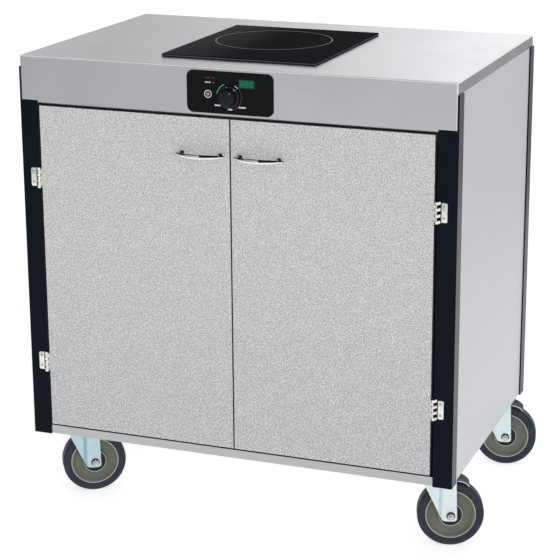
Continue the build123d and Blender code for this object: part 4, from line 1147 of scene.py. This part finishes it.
@dataclass
class Dial:
    """The fluted dial with its pointer; bearings are in degrees from x."""

    skirt_h: float = 3.5
    foot_r: float = 17.0
    top_r: float = 15.0
    height: float = 17.0
    flutes: int = 18
    flute_depth: float = 1.5
    pointer: float = 50.0
    start_mark: float = 101.0
    bar_w: float = 7.0
    bar_h: float = 3.0

    def ray(self, bearing: float, radii: Sequence[float]) -> np.ndarray:
        """Points at those radii in one direction."""
        return np.outer(radii, (cos(radians(bearing)), sin(radians(bearing))))

    def knob(self, top: float) -> np.ndarray:
        """Rings of the fluted body.

        The radius at angle a falls from the foot to the top, less a power of a cosine of the number of
        flutes times a, which fades towards the rounded top.

        Args:
            top: height of the body's upper face.

        Returns:
            Rings by points by three.
        """
        angle = around(216)
        share = np.array([0.0, 0.05, 0.3, 0.6, 0.85, 0.94, 0.99, 1.0])
        ease = np.array([0.0, 0.0, 0.0, 0.0, 0.0, 0.25, 0.8, 1.5])
        depth = self.flute_depth * np.array([0.6, 1.0, 1.0, 1.0, 0.9, 0.6, 0.3, 0.1])
        flute = (0.5 + 0.5 * np.cos(self.flutes * angle)) ** 2
        radius = self.foot_r + (self.top_r - self.foot_r) * share - ease
        foot = self.skirt_h - 0.2
        height = foot + (top - foot) * share
        return polar(radius[:, None] - depth[:, None] * flute, angle, height[:, None])

    def build(self) -> None:
        """Mould the dial and print its marks; the wide pale pink tick at the pointer is a painted highlight."""
        axes = facing_front(DIAL_X, DIAL_Z, box_of("dial")[1][1])
        skirt = [(0.0, 0.0), (20.4, 0.0), (21.0, 0.6), (21.0, 2.3), (20.6, 3.0), (19.8, 3.4),
                 (17.6, self.skirt_h), (0.0, self.skirt_h)]
        top = self.height - self.bar_h
        half_l, half_w = self.top_r - 0.8, self.bar_w / 2
        corners = [(-half_l, -half_w), (half_l, -half_w), (half_l, half_w), (-half_l, half_w)]
        turned = np.concatenate([self.ray(self.pointer, [1.0]), self.ray(self.pointer + 90.0, [1.0])])
        bar = slab(rounded(corners, 3.2, 9) @ turned, axes, top - 0.5, self.height, 0.9)
        body = stack_rings(axes.put(self.knob(top)))
        make_piece("fluted_dial", [revolve(skirt, axes, 120, closed=False), body, bar], "control_dial",
                   "knob", ["dial"])
        line = self.ray(self.pointer, (11.3, 12.3, half_l - 0.9))
        marks = [ribbon(line, axes.raised(self.height), 1.8)]
        # the wide tick at the pointer's bearing is a painted highlight; the narrow one at the start mark is print
        for bearing, width in ((self.start_mark, 1.5), (self.pointer, 3.6)):
            tick = self.ray(bearing, (17.7, 18.7, 19.6))
            marks.append(ribbon(tick, axes.raised(self.skirt_h - 0.1), width, 0.1))
        make_piece("dial_prints_and_highlight", marks, "control_dial", "knob", finish=PINK_INK_AND_HIGHLIGHT)


class Corner(Enum):
    """The four casters; each knows whether it has a brake."""

    FRONT_LEFT = ("front_left", False)
    FRONT_RIGHT = ("front_right", True)
    BACK_LEFT = ("back_left", False)
    BACK_RIGHT = ("back_right", True)


@dataclass
class Caster:
    """One caster: a bent fork with its race, axle, wheel and, on two of them, a brake pedal."""

    corner: Corner
    leg_mid: float = 21.8
    sheet: float = 3.0
    spread: float = 2.0
    leg_top: float = 76.0
    leg_low: float = -10.8
    bend_r: float = 6.5
    crown_right: float = -15.0
    wheel_r: float = 63.5
    core_r: float = 48.0
    tread_half: float = 15.9
    tread_edge: float = 5.0
    crown_z: float = 139.5
    race_h: float = 6.0
    head_z: float = 157.2
    head_h: float = 2.4
    pin_x: float = 3.0
    pin_y: float = 70.6
    pedal_half: float = 14.5
    pedal_lean: float = 18.0
    pedal_t: float = 1.5
    arch_up: float = 42.95
    arch_r: float = 25.55
    arch_half: float = 35.2
    ribs: int = 4
    pad_t: float = 4.4
    pad_tip_t: float = 1.0

    def __post_init__(self) -> None:
        """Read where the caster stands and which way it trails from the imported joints."""
        self.name, self.brake = self.corner.value
        swivel = joint_place(f"{self.name}_caster_turn")
        hub = joint_place(f"{self.name}_wheel_roll")
        way = unit((hub - swivel) * (1.0, 1.0, 0.0))
        out = np.cross(way, UP)
        self.hub = Axes(tuple(hub), tuple(way), UP, tuple(out))
        self.post = Axes((swivel[0], swivel[1], 0.0), tuple(way), tuple(-out), UP)

    def add(self, name: str, grids: Sequence[Grid], body: str, slot: str, node: str = "",
            finish: Finish | None = None, sharp_deg: float = EDGED_DEG) -> None:
        """Make a piece whose name, body and node all start with the caster's corner.

        Args:
            name: rest of the piece's name.
            grids: its surfaces.
            body: rest of the name of the body that it moves with.
            slot: the record's slot of its finish.
            node: rest of the name of the CAD node that it replaces, if it does.
            finish: what it wears, if not the slot's own finish.
            sharp_deg: angle past which an edge stays sharp.
        """
        nodes = [f"{self.name}_{node}"] if node else []
        make_piece(f"{self.name}_{name}", grids, f"{self.name}_{body}", slot, nodes, finish, sharp_deg)

    def left_edge(self, y: np.ndarray) -> np.ndarray:
        """Slanted edge of a leg: a line up to the crown, and an ellipse's quarter at the foot."""
        line = -18.5 - (np.maximum(y, -4.0) + 4.0) * 37.5 / 80.0
        foot = np.clip((-4.0 - y) / 6.8, 0.0, 1.0)
        return line + 10.8 * (1 - np.sqrt(1 - foot ** 2))

    def right_edge(self, y: np.ndarray) -> np.ndarray:
        """Nearly upright edge of a leg, with a quarter circle at the foot."""
        line = 12.5 - (y - self.leg_low) * 2.7 / 86.8
        foot = np.clip((-4.8 - y) / 6.0, 0.0, 1.0)
        return line - 6.0 * (1 - np.sqrt(1 - foot ** 2))

    def sheet_loop(self, steps: int = 18, ease: float = 0.7) -> np.ndarray:
        """Loop round a sheet's section with eased edges.

        Args:
            steps: points on each face.
            ease: how far the edges are eased.

        Returns:
            Three rows: share of the width, shift along it and height over the sheet's middle.
        """
        half = self.sheet / 2
        inset = np.zeros(steps)
        inset[0], inset[-1] = ease, -ease
        upper = np.column_stack([np.linspace(0.0, 1.0, steps), inset, np.full(steps, half)])
        right, left = [[(share, 0.0, half - ease), (share, 0.0, ease - half)] for share in (1.0, 0.0)]
        return np.concatenate([upper, right, upper[::-1] * (1.0, 1.0, -1.0), left[::-1]]).T

    def fork(self) -> None:
        """Bend the fork from one sheet.

        The path runs up a leg, round a quarter circle, over the crown and down the other leg. A closed
        section spans the leg's width at each point. The legs stand further apart left of a crease, by a
        smooth step of the distance along the wheel's way.
        """
        leg_end = self.leg_top - self.bend_r - 1.5
        rise = np.concatenate([np.linspace(self.leg_low, -4.0, 9), np.linspace(0.0, leg_end, 26)])
        turn = np.linspace(0.0, pi / 2, 9)
        crown_y, centre_z = self.leg_top - self.sheet / 2, self.leg_mid - self.bend_r
        bend_y = crown_y - self.bend_r + self.bend_r * np.sin(turn)
        bend_z = centre_z + self.bend_r * np.cos(turn)
        crown = np.linspace(centre_z, 0.0, 5)[1:]
        half = np.column_stack([np.concatenate([rise, bend_y, np.full(4, crown_y)]),
                                np.concatenate([np.full(len(rise), self.leg_mid), bend_z, crown])])
        path = np.concatenate([half, half[-2::-1] * (1.0, -1.0)])
        way = unit(np.gradient(path, axis=0))
        normal = np.column_stack([np.zeros(len(way)), -way[:, 1], way[:, 0]])
        on_leg = np.concatenate([np.ones(len(rise)), np.cos(turn) ** 0.5, np.zeros(4)])
        on_leg = np.concatenate([on_leg, on_leg[-2::-1]])
        left = self.left_edge(path[:, 0])
        right = self.crown_right + (self.right_edge(path[:, 0]) - self.crown_right) * on_leg
        share, inset, layer = self.sheet_loop()
        along = left[:, None] * (1 - share) + right[:, None] * share + inset
        section = np.stack([along, np.broadcast_to(layer, along.shape)], axis=-1)
        grid = sweep(np.column_stack([np.zeros(len(path)), path]), RIGHT, normal, section)
        away = np.clip((-15.0 - grid.points[..., 0]) / 10.0, 0.0, 1.0)
        step = self.spread * away ** 2 * (3 - 2 * away)
        side = np.pad(np.sign(path[:, 1]) * on_leg, 1, mode="edge")
        grid.points[..., 2] += step * side[:, None]
        self.add("bent_fork", [grid.put(self.hub)], "swivel", "zinc", "fork")

    def race(self) -> None:
        """Turn the swivel race and the king pin."""
        low, top = self.crown_z - self.sheet, self.crown_z + self.race_h
        head = self.head_z + self.head_h
        profile = [
            (0.0, low - 1.2), (9.0, low - 1.2), (10.0, low - 0.2), (26.4, low - 0.2), (27.6, low + 0.6),
            (28.0, low + 1.6), (27.6, self.crown_z - 0.3), (26.4, self.crown_z), (25.6, self.crown_z + 0.3),
            (25.2, self.crown_z + 1.2), (25.0, self.crown_z + 2.4), (24.3, top - 2.4), (24.3, top - 1.8),
            (25.0, top - 1.4), (25.0, top - 0.6), (24.4, top), (6.0, top), (6.0, self.head_z),
            (10.0, self.head_z), (10.5, self.head_z + 0.5), (10.5, head - 0.8), (9.7, head), (0.0, head),
        ]
        self.add("race", [revolve(profile, self.post, 72, closed=False)], "swivel", "zinc", "fork")

    def axle(self) -> None:
        """Put together the axle bolt, its washers, head and nut."""
        face = self.leg_mid + self.sheet / 2
        shank = [(0.0, -face - 1.0), (4.8, -face - 1.0), (4.8, face + 1.0), (0.0, face + 1.0)]
        bolt = [revolve(shank, self.hub, 40, closed=False), thread(self.hub, 3.6, face + 5.0, face + 10.0)]
        washers = []
        for side in (1.0, -1.0):
            washer = [(0.0, face), (8.0, face), (8.4, face + 0.2), (8.4, face + 1.0), (8.0, face + 1.2),
                      (0.0, face + 1.2)]
            washers.append(revolve(np.array(washer) * (1.0, side), self.hub, 48, closed=False))
            bolt.append(nut(self.hub, 12.4, *sorted((side * (face + 1.2), side * (face + 7.0))), chamfer=1.3))
        self.add("axle_bolt", bolt, "swivel", "steel", "axle")
        # the washers are real; their dark finish is painted shade for the dark crescents round the axle
        self.add("shaded_axle_washers", washers, "swivel", "steel", "axle", SHADE_PAINTED_STEEL)

    def wheel(self) -> None:
        """Turn the core, its light rim, the thread guards and the tread."""
        body = "rolling_wheel"
        core = both_ways([
            (4.85, 0.0), (4.85, 19.8), (10.4, 19.8), (11.0, 19.2), (11.0, 16.0), (21.4, 16.0),
            (23.3, 16.0), (24.2, 13.9), (26.6, 11.8), (31.0, 10.6),
            (35.0, 10.5), (39.0, 11.2), (42.0, 12.9), (43.6, 14.6), (45.0, 14.8), (self.core_r, 14.8),
        ])
        self.add("core", [revolve(core, self.hub)], body, "wheel_core", "wheel", sharp_deg=ROUND_DEG)
        rim = [(45.9, 14.6), (46.1, 15.2), (46.6, 15.6), (47.4, 15.6), (47.9, 15.3), (47.9, 14.6)]
        lip = [(21.3, 15.6), (21.5, 16.9), (21.9, 17.2), (22.7, 17.2), (23.1, 16.9), (23.3, 15.6)]
        guard = [(11.0, 15.9), (11.0, 18.0), (11.6, 18.2), (18.6, 18.2), (20.4, 17.9), (21.3, 17.0),
                 (21.3, 15.9)]
        rims, lips, guards = ([revolve(np.array(profile) * (1.0, side), self.hub) for side in (1.0, -1.0)]
                              for profile in (rim, lip, guard))
        self.add("core_rim", rims + lips, body, "wheel_core", finish=CORE_RIM, sharp_deg=ROUND_DEG)
        self.add("thread_guards", guards, body, "wheel_core", finish=GUARD)
        edge_r, edge_h = self.wheel_r - self.tread_edge, self.tread_half - self.tread_edge
        edge = arc(self.tread_edge, 90.0, 0.0, 9) + (edge_r, edge_h)
        tread = both_ways([
            (self.core_r, 0.0), (self.core_r, 15.2), (self.core_r + 0.7, self.tread_half),
            (51.0, self.tread_half), (51.5, self.tread_half - 0.3), (52.0, self.tread_half), *edge,
            (self.wheel_r, edge_h / 2), (self.wheel_r, 0.0),
        ])
        self.add("tyre", [revolve(tread, self.hub, 128)], body, "tread", "tread", sharp_deg=ROUND_DEG)

    def arch(self, radius: float, degrees: np.ndarray) -> np.ndarray:
        """Points c + r (sin a, cos a) about the arch's centre c, a from straight up."""
        angle, lean = np.radians(degrees), radians(self.pedal_lean)
        return np.column_stack([self.arch_up * sin(lean) + radius * np.sin(angle),
                                self.arch_up * cos(lean) + radius * np.cos(angle)])

    def pedal(self) -> None:
        """Press the brake pedal from a strip bent to the arch, with a barrel for its pin and a web."""
        first, last = self.pedal_lean - self.arch_half, self.pedal_lean + self.arch_half
        half, half_t = self.pedal_half, self.pedal_t / 2
        line = self.arch(self.arch_r + half_t, np.linspace(first, last, 30))
        section = rounded([(-half, -half_t), (half, -half_t), (half, half_t), (-half, half_t)], 0.4)
        plate = sweep(level(line), UP, left_of(unit(np.gradient(line, axis=0))), section).put(self.hub)
        outer, inner = 3.9, 2.1
        rings = [level(circle(radius, 32) + (self.pin_x, self.pin_y), height)
                 for radius, height in ((inner, -half), (outer, -half), (outer, half), (inner, half))]
        barrel = Grid(np.stack(rings), rows_close=True).put(self.hub)
        web = [(self.pin_x + 1.0, self.pin_y - 3.2), (self.pin_x + 3.4, self.pin_y - 0.6), (10.4, 67.7),
               (10.2, 66.4), (5.8, 65.3)]
        link = block(web, self.hub, 0.4 - half, half - 0.4, 0.2)
        self.add("pedal_plate", [plate, barrel, link], "pedal", "pedal", "brake_pedal", ZINC)
        self.pad(first + 0.16 * 2 * self.arch_half, last - 0.4)

    def pad(self, first: float, last: float) -> None:
        """Mould the ribbed pad on the pedal.

        It thins towards the tip, and its upper face rises and falls across its width as a power of a
        cosine, which makes the ribs.

        Args:
            first: where it starts on the arch, in degrees.
            last: where it ends.
        """
        across = np.linspace(0.3 - self.pedal_half, self.pedal_half - 0.3, 81)
        ribs = (0.5 + 0.5 * np.cos(FULL_TURN * self.ribs * across / (2 * self.pedal_half - 2.6))) ** 0.7
        degrees = np.linspace(first, last, 26)
        share = np.linspace(0.0, 1.0, 26)
        thick = self.pad_t + (self.pad_tip_t - self.pad_t) * share
        ends = np.minimum(1.0, np.minimum(share / 0.05 + 0.4, (1 - share) / 0.04 + 0.5))
        top = (thick[:, None] + 0.9 * ribs - 0.1) * ends[:, None]
        out = np.pad(top, ((0, 0), (1, 1)))
        section = np.stack([np.broadcast_to(np.pad(across, 1, mode="edge"), out.shape), out], axis=-1)
        turn = np.radians(degrees)
        away = level(np.column_stack([np.sin(turn), np.cos(turn)]))
        pad = sweep(level(self.arch(self.arch_r + self.pedal_t, degrees)), UP, away, section)
        self.add("pedal_pad", [pad.put(self.hub)], "pedal", "pedal", "brake_pedal")

    def build(self) -> None:
        """Make all of the caster's pieces."""
        self.fork()
        self.race()
        self.axle()
        self.wheel()
        if self.brake:
            self.pedal()


@dataclass
class Hinge:
    """One hinge: a leaf on the post, a leaf on the door's edge, their knuckles, the pin and the screws."""

    side: int
    height: float
    axis_x: float = 395.3
    axis_y: float = -284.8
    post_face: float = -279.8
    leaf_half: float = 18.0
    leaf_start: float = 6.5
    leaf_end: float = 18.3
    leaf_t: float = 1.5
    groove: float = 2.0
    corner_r: float = 3.0
    barrel_h: float = 40.0
    knuckles: int = 7
    knuckle_gap: float = 0.3
    knuckle_r: float = 3.4
    pin_r: float = 1.6
    tip_r: float = 2.3
    tip_h: float = 1.2
    door_reach: float = 5.7
    door_leaf_t: float = 1.1
    door_leaf_d: float = 17.0
    screw_x: float = 12.5
    screw_pitch: float = 21.0
    screw_r: float = 2.9
    screw_h: float = 0.9

    def __post_init__(self) -> None:
        """Work out the frame of the axis, x outwards and y to the front, and where the knuckles lie."""
        outwards = (float(self.side), 0.0, 0.0)
        self.axes = Axes((self.side * self.axis_x, self.axis_y, self.height), outwards, FORWARD, UP)
        self.face = Axes((self.side * self.axis_x, self.post_face, self.height), outwards, UP, FORWARD)
        self.back = self.axis_y - self.post_face
        self.groove_start = self.leaf_start - self.groove / 2
        self.groove_end = self.leaf_start + self.groove / 2
        self.knuckle_h = (self.barrel_h - (self.knuckles - 1) * self.knuckle_gap) / self.knuckles

    def barrel(self, first: int, neck: Sequence, start: float, end: float) -> list[Grid]:
        """Every second knuckle: a curl about the pin and the neck that ties it to its leaf.

        Args:
            first: number of the lowest of them.
            neck: outline of the neck.
            start: angle in degrees where the curl starts.
            end: angle where it ends.

        Returns:
            Two grids for each knuckle.
        """
        grids = []
        for number in range(first, self.knuckles, 2):
            bottom = number * (self.knuckle_h + self.knuckle_gap) - self.barrel_h / 2
            top = bottom + self.knuckle_h
            grids += [curl(self.axes, tube(self.pin_r + 0.1, self.knuckle_r, bottom, top), start, end),
                      block(neck, self.axes, bottom + 0.1, top - 0.1, 0.25)]
        return grids

    def post_leaf(self) -> list[Grid]:
        """Leaf on the post, its outer corners round, with its knuckles."""
        turn = arc(self.corner_r, -90.0, 0.0, 8)
        low = turn + (self.leaf_end - self.corner_r, self.corner_r - self.leaf_half)
        edge = [(self.groove_end, -self.leaf_half)]
        outline = np.concatenate([edge, low, low[::-1] * (1.0, -1.0), np.multiply(edge, (1.0, -1.0))])
        neck = [(0.0, -3.3), (2.6, self.back), (self.groove_start, self.back),
                (self.groove_start, -2.7), (2.9, -1.6)]
        return [slab(outline, self.face, 0.0, self.leaf_t, 0.4), *self.barrel(0, neck, -75.0, 215.0)]

    def painted_bend_lighting(self) -> list[Grid]:
        """Dark strip of painted shade along the leaf's inner edge, set back from its face."""
        start, end = self.groove_start - 0.2, self.groove_end + 0.2
        strip = [(start, self.back), (end, self.back), (end, self.back + 0.6), (start, self.back + 0.6)]
        return [block(strip, self.axes, -self.leaf_half, self.leaf_half, 0.2)]

    def door_leaf(self) -> list[Grid]:
        """Leaf on the door's edge, with the other knuckles."""
        outer, inner = -self.door_reach, self.door_leaf_t - self.door_reach
        plate = [(outer, 0.0), (inner, 0.0), (inner, -self.door_leaf_d), (outer, -self.door_leaf_d)]
        neck = [(outer + 0.2, -0.2), (-0.6, -0.2), (-0.6, -3.4), (outer + 0.2, -3.4)]
        return [block(plate, self.axes, -self.leaf_half, self.leaf_half, 0.25),
                *self.barrel(1, neck, 82.0, 265.0)]

    def pin(self) -> list[Grid]:
        """Pin with a button at each end."""
        end, radius = self.barrel_h / 2, self.pin_r - 0.05
        upper = np.array([(radius, 0.0), (radius, end), (self.tip_r, end + 0.02),
                          (self.tip_r, end + self.tip_h * 0.6), (self.tip_r * 0.75, end + self.tip_h * 0.9),
                          (0.0, end + self.tip_h)])
        lower = upper[:0:-1] * (1.0, -1.0)
        return [revolve(np.concatenate([lower, upper]), self.axes, 32, closed=False)]

    def screws(self) -> list[Grid]:
        """Two screw heads on the post leaf."""
        x, face = self.side * (self.axis_x + self.screw_x), self.post_face - self.leaf_t
        return [cross_head(facing_front(x, self.height + step, face), self.screw_r, self.screw_h)
                for step in (-self.screw_pitch / 2, self.screw_pitch / 2)]


@dataclass
class HingeSet:
    """The four hinges of the two doors."""

    heights: tuple[float, float] = (295.5, 667.5)

    def build(self) -> None:
        """Make the leaves, the pins and the screws."""
        left, right = ([Hinge(side, height) for height in self.heights] for side in (-1, 1))
        both = left + right
        frame_leaves, loose = ["frame_hinge_leaves"], ["hinge_pins_and_screws"]
        for name, hinges, make, body, node, finish in (
            ("post_hinge_leaves", both, Hinge.post_leaf, "cabinet", frame_leaves, None),
            ("left_door_hinge_knuckles", left, Hinge.door_leaf, "left_door_leaf",
             ["left_door_hinge_leaves"], None),
            ("right_door_hinge_knuckles", right, Hinge.door_leaf, "right_door_leaf",
             ["right_door_hinge_leaves"], None),
            # the strips along the leaves' inner edges are painted shade
            ("post_hinge_shade_strips", both, Hinge.painted_bend_lighting, "cabinet", frame_leaves, SHADE_STRIP),
            # the pins wear painted shade, as they lie in the knuckles' shadow
            ("hinge_pins", both, Hinge.pin, "cabinet", loose, SHADE_PAINTED_STEEL),
            ("hinge_screws", both, Hinge.screws, "cabinet", loose, STEEL),
        ):
            grids = [grid for hinge in hinges for grid in make(hinge)]
            make_piece(name, grids, body, "hinge_nickel", node, finish)


@dataclass
class CordGland:
    """Nylon gland at the back: a nut each side of the panel and a fluted dome."""

    x: float = 300.0
    drop: float = 78.0
    panel: float = 276.8
    panel_t: float = 6.0
    hex_w: float = 26.0
    hex_t: float = 5.0
    thread_r: float = 9.8
    bore_r: float = 5.5
    dome_r: float = 11.5
    dome_l: float = 11.0
    flutes: int = 24

    def hex_ring(self, bottom: float, top: float) -> Grid:
        """Hexagon nut with the bore through it; its corners are cut by a cone at each end."""
        flat = hexagon(self.hex_w)
        cut = np.minimum(flat, self.hex_w * 0.52)
        rows = [(self.bore_r, bottom), (cut, bottom), (flat, bottom + 0.8), (flat, top - 0.8), (cut, top),
                (self.bore_r, top)]
        rings = [polar(radius, around(len(flat)), height) for radius, height in rows]
        return Grid(np.stack(rings), rows_close=True)

    def dome(self) -> Grid:
        """Fluted cap whose radius falls to the mouth.

        The radius is the profile's, less a depth times a power of a cosine of the number of flutes times
        the angle.
        """
        angle = around(192)
        share = np.array([0.0, 0.04, 0.50, 0.62, 0.74, 0.86, 0.95, 1.0])
        radius = self.dome_r - np.array([0.4, 0.0, 0.0, 0.3, 1.1, 2.4, 3.7, 4.6])
        depth = np.array([0.2, 0.7, 0.7, 0.6, 0.4, 0.15, 0.0, 0.0])
        wave = (0.5 + 0.5 * np.cos(self.flutes * angle)) ** 3
        height = self.hex_t + self.dome_l * share
        outer = polar(radius[:, None] - depth[:, None] * wave, angle, height[:, None])
        foot, mouth = ([polar(self.bore_r, angle, height)] for height in
                       (self.hex_t, self.hex_t + self.dome_l - 1.0))
        return Grid(np.concatenate([foot, outer, mouth]), rows_close=True)

    def build(self) -> None:
        """Make the gland."""
        axes = Axes((self.x, self.panel, WORKTOP_Z - self.drop), (-1.0, 0.0, 0.0), UP, BACK)
        inside = -self.panel_t - self.hex_t
        grids = [self.hex_ring(0.0, self.hex_t).put(axes), self.hex_ring(inside, -self.panel_t).put(axes),
                 revolve(tube(self.bore_r, self.thread_r, -self.panel_t, 0.0, 0.1), axes, 40),
                 self.dome().put(axes)]
        make_piece("fluted_cord_gland", grids, "cabinet", "gland", ["cord_gland"])


@dataclass
class Handle:
    """Chrome bow handle of one door."""

    name: str
    middle_x: float
    height: float = 738.4
    length: float = 99.0
    reach: float = 26.0
    tip_reach: float = 6.5
    thick: float = 4.4
    tall: float = 9.0
    post_pitch: float = 76.2
    post_r: float = 3.2
    door_face: float = -283.5

    def build(self) -> None:
        """Sweep the bow and its two flared posts.

        The bow's line is an arc of a circle through its tips and its middle. Its section is an ellipse
        whose height falls with the square of the distance from the middle and closes at the tips.
        """
        rise = self.reach - self.tip_reach
        radius = ((self.length / 2) ** 2 + rise ** 2) / (2 * rise)
        share = np.sin(np.linspace(-pi / 2, pi / 2, 61))
        x = share * (self.length / 2)
        depth = self.stand_off(radius, x)
        path = np.column_stack([self.middle_x + x, self.door_face - depth, np.full(len(x), self.height)])
        out = np.cross(unit(np.gradient(path, axis=0)), UP)
        close = np.maximum(1e-3, 1 - share ** 8) ** 0.5
        tall = self.tall / 2 * (1 - 0.42 * share ** 2) * close
        thick = self.thick / 2 * (1 - 0.15 * share ** 2) * close
        angle = around(40)
        swell = np.sign(np.cos(angle)) * np.abs(np.cos(angle)) ** 0.85
        section = np.stack([tall[:, None] * swell, thick[:, None] * np.sin(angle)], axis=-1)
        grids = [sweep(path, UP, out, section)]
        up = np.linspace(0.0, 1.0, 14)
        flare = self.post_r * (1.0 + 0.55 * (1 - up) ** 6 + 0.2 * up ** 6)
        for offset in (-self.post_pitch / 2, self.post_pitch / 2):
            length = self.stand_off(radius, offset)
            axes = facing_front(self.middle_x + offset, self.height, self.door_face)
            profile = [[(0.0, 0.0)], np.column_stack([flare, up * length]), [(0.0, length)]]
            grids.append(revolve(np.concatenate(profile), axes, 40, closed=False))
        make_piece(f"{self.name}_bow_handle", grids, f"{self.name}_door_leaf", "chrome",
                   [f"{self.name}_door_handle"], sharp_deg=ROUND_DEG)

    def stand_off(self, radius: float, x: np.ndarray | float) -> np.ndarray | float:
        """How far the bow's middle line stands off the door at a distance from its middle."""
        return self.reach - self.thick / 2 - (radius - np.sqrt(radius ** 2 - np.square(x)))


# Studio

@dataclass(frozen=True)
class SoftBox:
    """A soft light round the cart; azimuth goes from the cart's right towards its back."""

    azimuth: float
    elevation: float
    spread: float
    strength: float

    def way(self) -> Point:
        """Unit vector towards the box: (cos e cos a, cos e sin a, sin e)."""
        across, up = radians(self.azimuth), radians(self.elevation)
        return cos(up) * cos(across), cos(up) * sin(across), sin(up)


SOFT_BOXES = (
    SoftBox(315.0, -15.0, 50.0, 0.95), SoftBox(315.0, 18.0, 50.0, 0.58), SoftBox(0.0, -15.0, 50.0, 0.38),
    SoftBox(270.0, -15.0, 50.0, 0.27), SoftBox(75.0, 12.0, 20.0, 0.30), SoftBox(60.0, 12.0, 20.0, 0.28),
    SoftBox(90.0, 12.0, 20.0, 0.92), SoftBox(100.0, 12.0, 20.0, 0.50), SoftBox(135.0, 19.0, 20.0, 0.98),
    SoftBox(120.0, 50.0, 50.0, 0.16), SoftBox(185.0, 68.0, 48.0, -0.36),
)


@dataclass
class Studio:
    """Floor, lights and camera."""

    spot: Point = (1249.9, -3274.0, 1481.7)
    yaw: float = -19.77
    pitch: float = -15.56
    focal_px: float = 1811.7
    shift_px: tuple[float, float] = (40.0, -40.0)
    sensor_mm: float = 36.0
    floor_r: float = 2600.0
    floor_drop: float = 0.3
    floor_glow: float = 0.66
    ambient: float = 0.38
    mirror_cap: float = 1.3
    backdrop: float = 1.1
    white: Colour = (1.0, 1.0, 1.0)

    def camera(self) -> None:
        """Stand the camera where the photograph was taken from, looking along yaw and pitch."""
        data = bpy.data.cameras.new("camera")
        data.sensor_width = self.sensor_mm
        data.lens = self.focal_px / IMAGE_SIDE_PX * self.sensor_mm
        data.shift_x = -self.shift_px[0] / IMAGE_SIDE_PX
        data.shift_y = self.shift_px[1] / IMAGE_SIDE_PX
        camera = bpy.data.objects.new("camera", data)
        bpy.context.scene.collection.objects.link(camera)
        yaw, pitch = radians(self.yaw), radians(self.pitch)
        ahead = Vector((sin(yaw) * cos(pitch), cos(yaw) * cos(pitch), sin(pitch)))
        camera.location = Vector(place(self.spot))
        camera.rotation_mode = "QUATERNION"
        camera.rotation_quaternion = ahead.to_track_quat("-Z", "Y")
        bpy.context.scene.camera = camera

    def floor(self) -> None:
        """Lay a pale round floor, its points (r cos a, r sin a)."""
        radius = np.linspace(0.0, self.floor_r, 12)[:, None]
        floor = add_mesh("floor", [Grid(polar(radius, around(96), -self.floor_drop))])
        material = bpy.data.materials.new("floor")
        paint = Paint(material)
        tone = paint.noise(paint.position(), 0.6)
        shader = paint.add("ShaderNodeBsdfPrincipled", {
            "Base Color": paint.blend(tone, (0.88, 0.88, 0.885), (0.90, 0.90, 0.90)), "Roughness": 0.9,
            "Specular IOR Level": 0.1, "Emission Color": self.white, "Emission Strength": self.floor_glow,
        })
        paint.add("ShaderNodeOutputMaterial", {"Surface": shader})
        floor.data.materials.append(material)

    def world(self) -> None:
        """Light the room from its soft boxes, and show the camera a white backdrop.

        A direction's light is the ambient plus, for each box, its strength times a smooth step of the
        cosine between the direction and the box's middle. Mirror reflections see no more than the cap, so
        that bare metal isn't burnt out from any side.
        """
        world = bpy.data.worlds.new("studio")
        bpy.context.scene.world = world
        paint = Paint(world)
        where = paint.add("ShaderNodeTexCoord", out="Generated")
        light = self.ambient
        for box in SOFT_BOXES:
            near = paint.add("ShaderNodeVectorMath", {0: where, 1: box.way()}, "Value",
                             operation="DOT_PRODUCT")
            light = light + paint.add("ShaderNodeMapRange", {
                "Value": near, "From Min": cos(radians(box.spread)),
                "From Max": cos(radians(box.spread * 0.1)), "To Max": box.strength,
            }, interpolation_type="SMOOTHSTEP")
        capped = paint.add("ShaderNodeMath", {0: light, 1: self.mirror_cap}, operation="MINIMUM")
        mirrored = paint.add("ShaderNodeLightPath", out="Is Glossy Ray")
        seen = paint.add("ShaderNodeLightPath", out="Is Camera Ray")
        strength = paint.add("ShaderNodeMix", {0: mirrored, 2: light, 3: capped})
        room = paint.add("ShaderNodeBackground", {"Color": self.white, "Strength": strength})
        white = paint.add("ShaderNodeBackground", {"Color": self.white, "Strength": self.backdrop})
        mix = paint.add("ShaderNodeMixShader", {0: seen, 1: room, 2: white})
        paint.add("ShaderNodeOutputWorld", {"Surface": mix})

    def build(self) -> None:
        """Set up everything round the cart."""
        bpy.context.scene.view_settings.view_transform = "Standard"
        self.camera()
        self.floor()
        self.world()


def main() -> None:
    """Dress the cart and set up the studio."""
    logging.basicConfig(level=logging.INFO, format="%(name)s: %(message)s")
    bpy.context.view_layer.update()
    dress_nodes()
    handles = (Handle("left", -58.0), Handle("right", 58.0))
    casters = [Caster(corner) for corner in Corner]
    for part in (Hob(), ControlPanel(), Dial(), HingeSet(), CordGland(), *handles, *casters, Studio()):
        part.build()


if __name__ == "__main__":
    main()
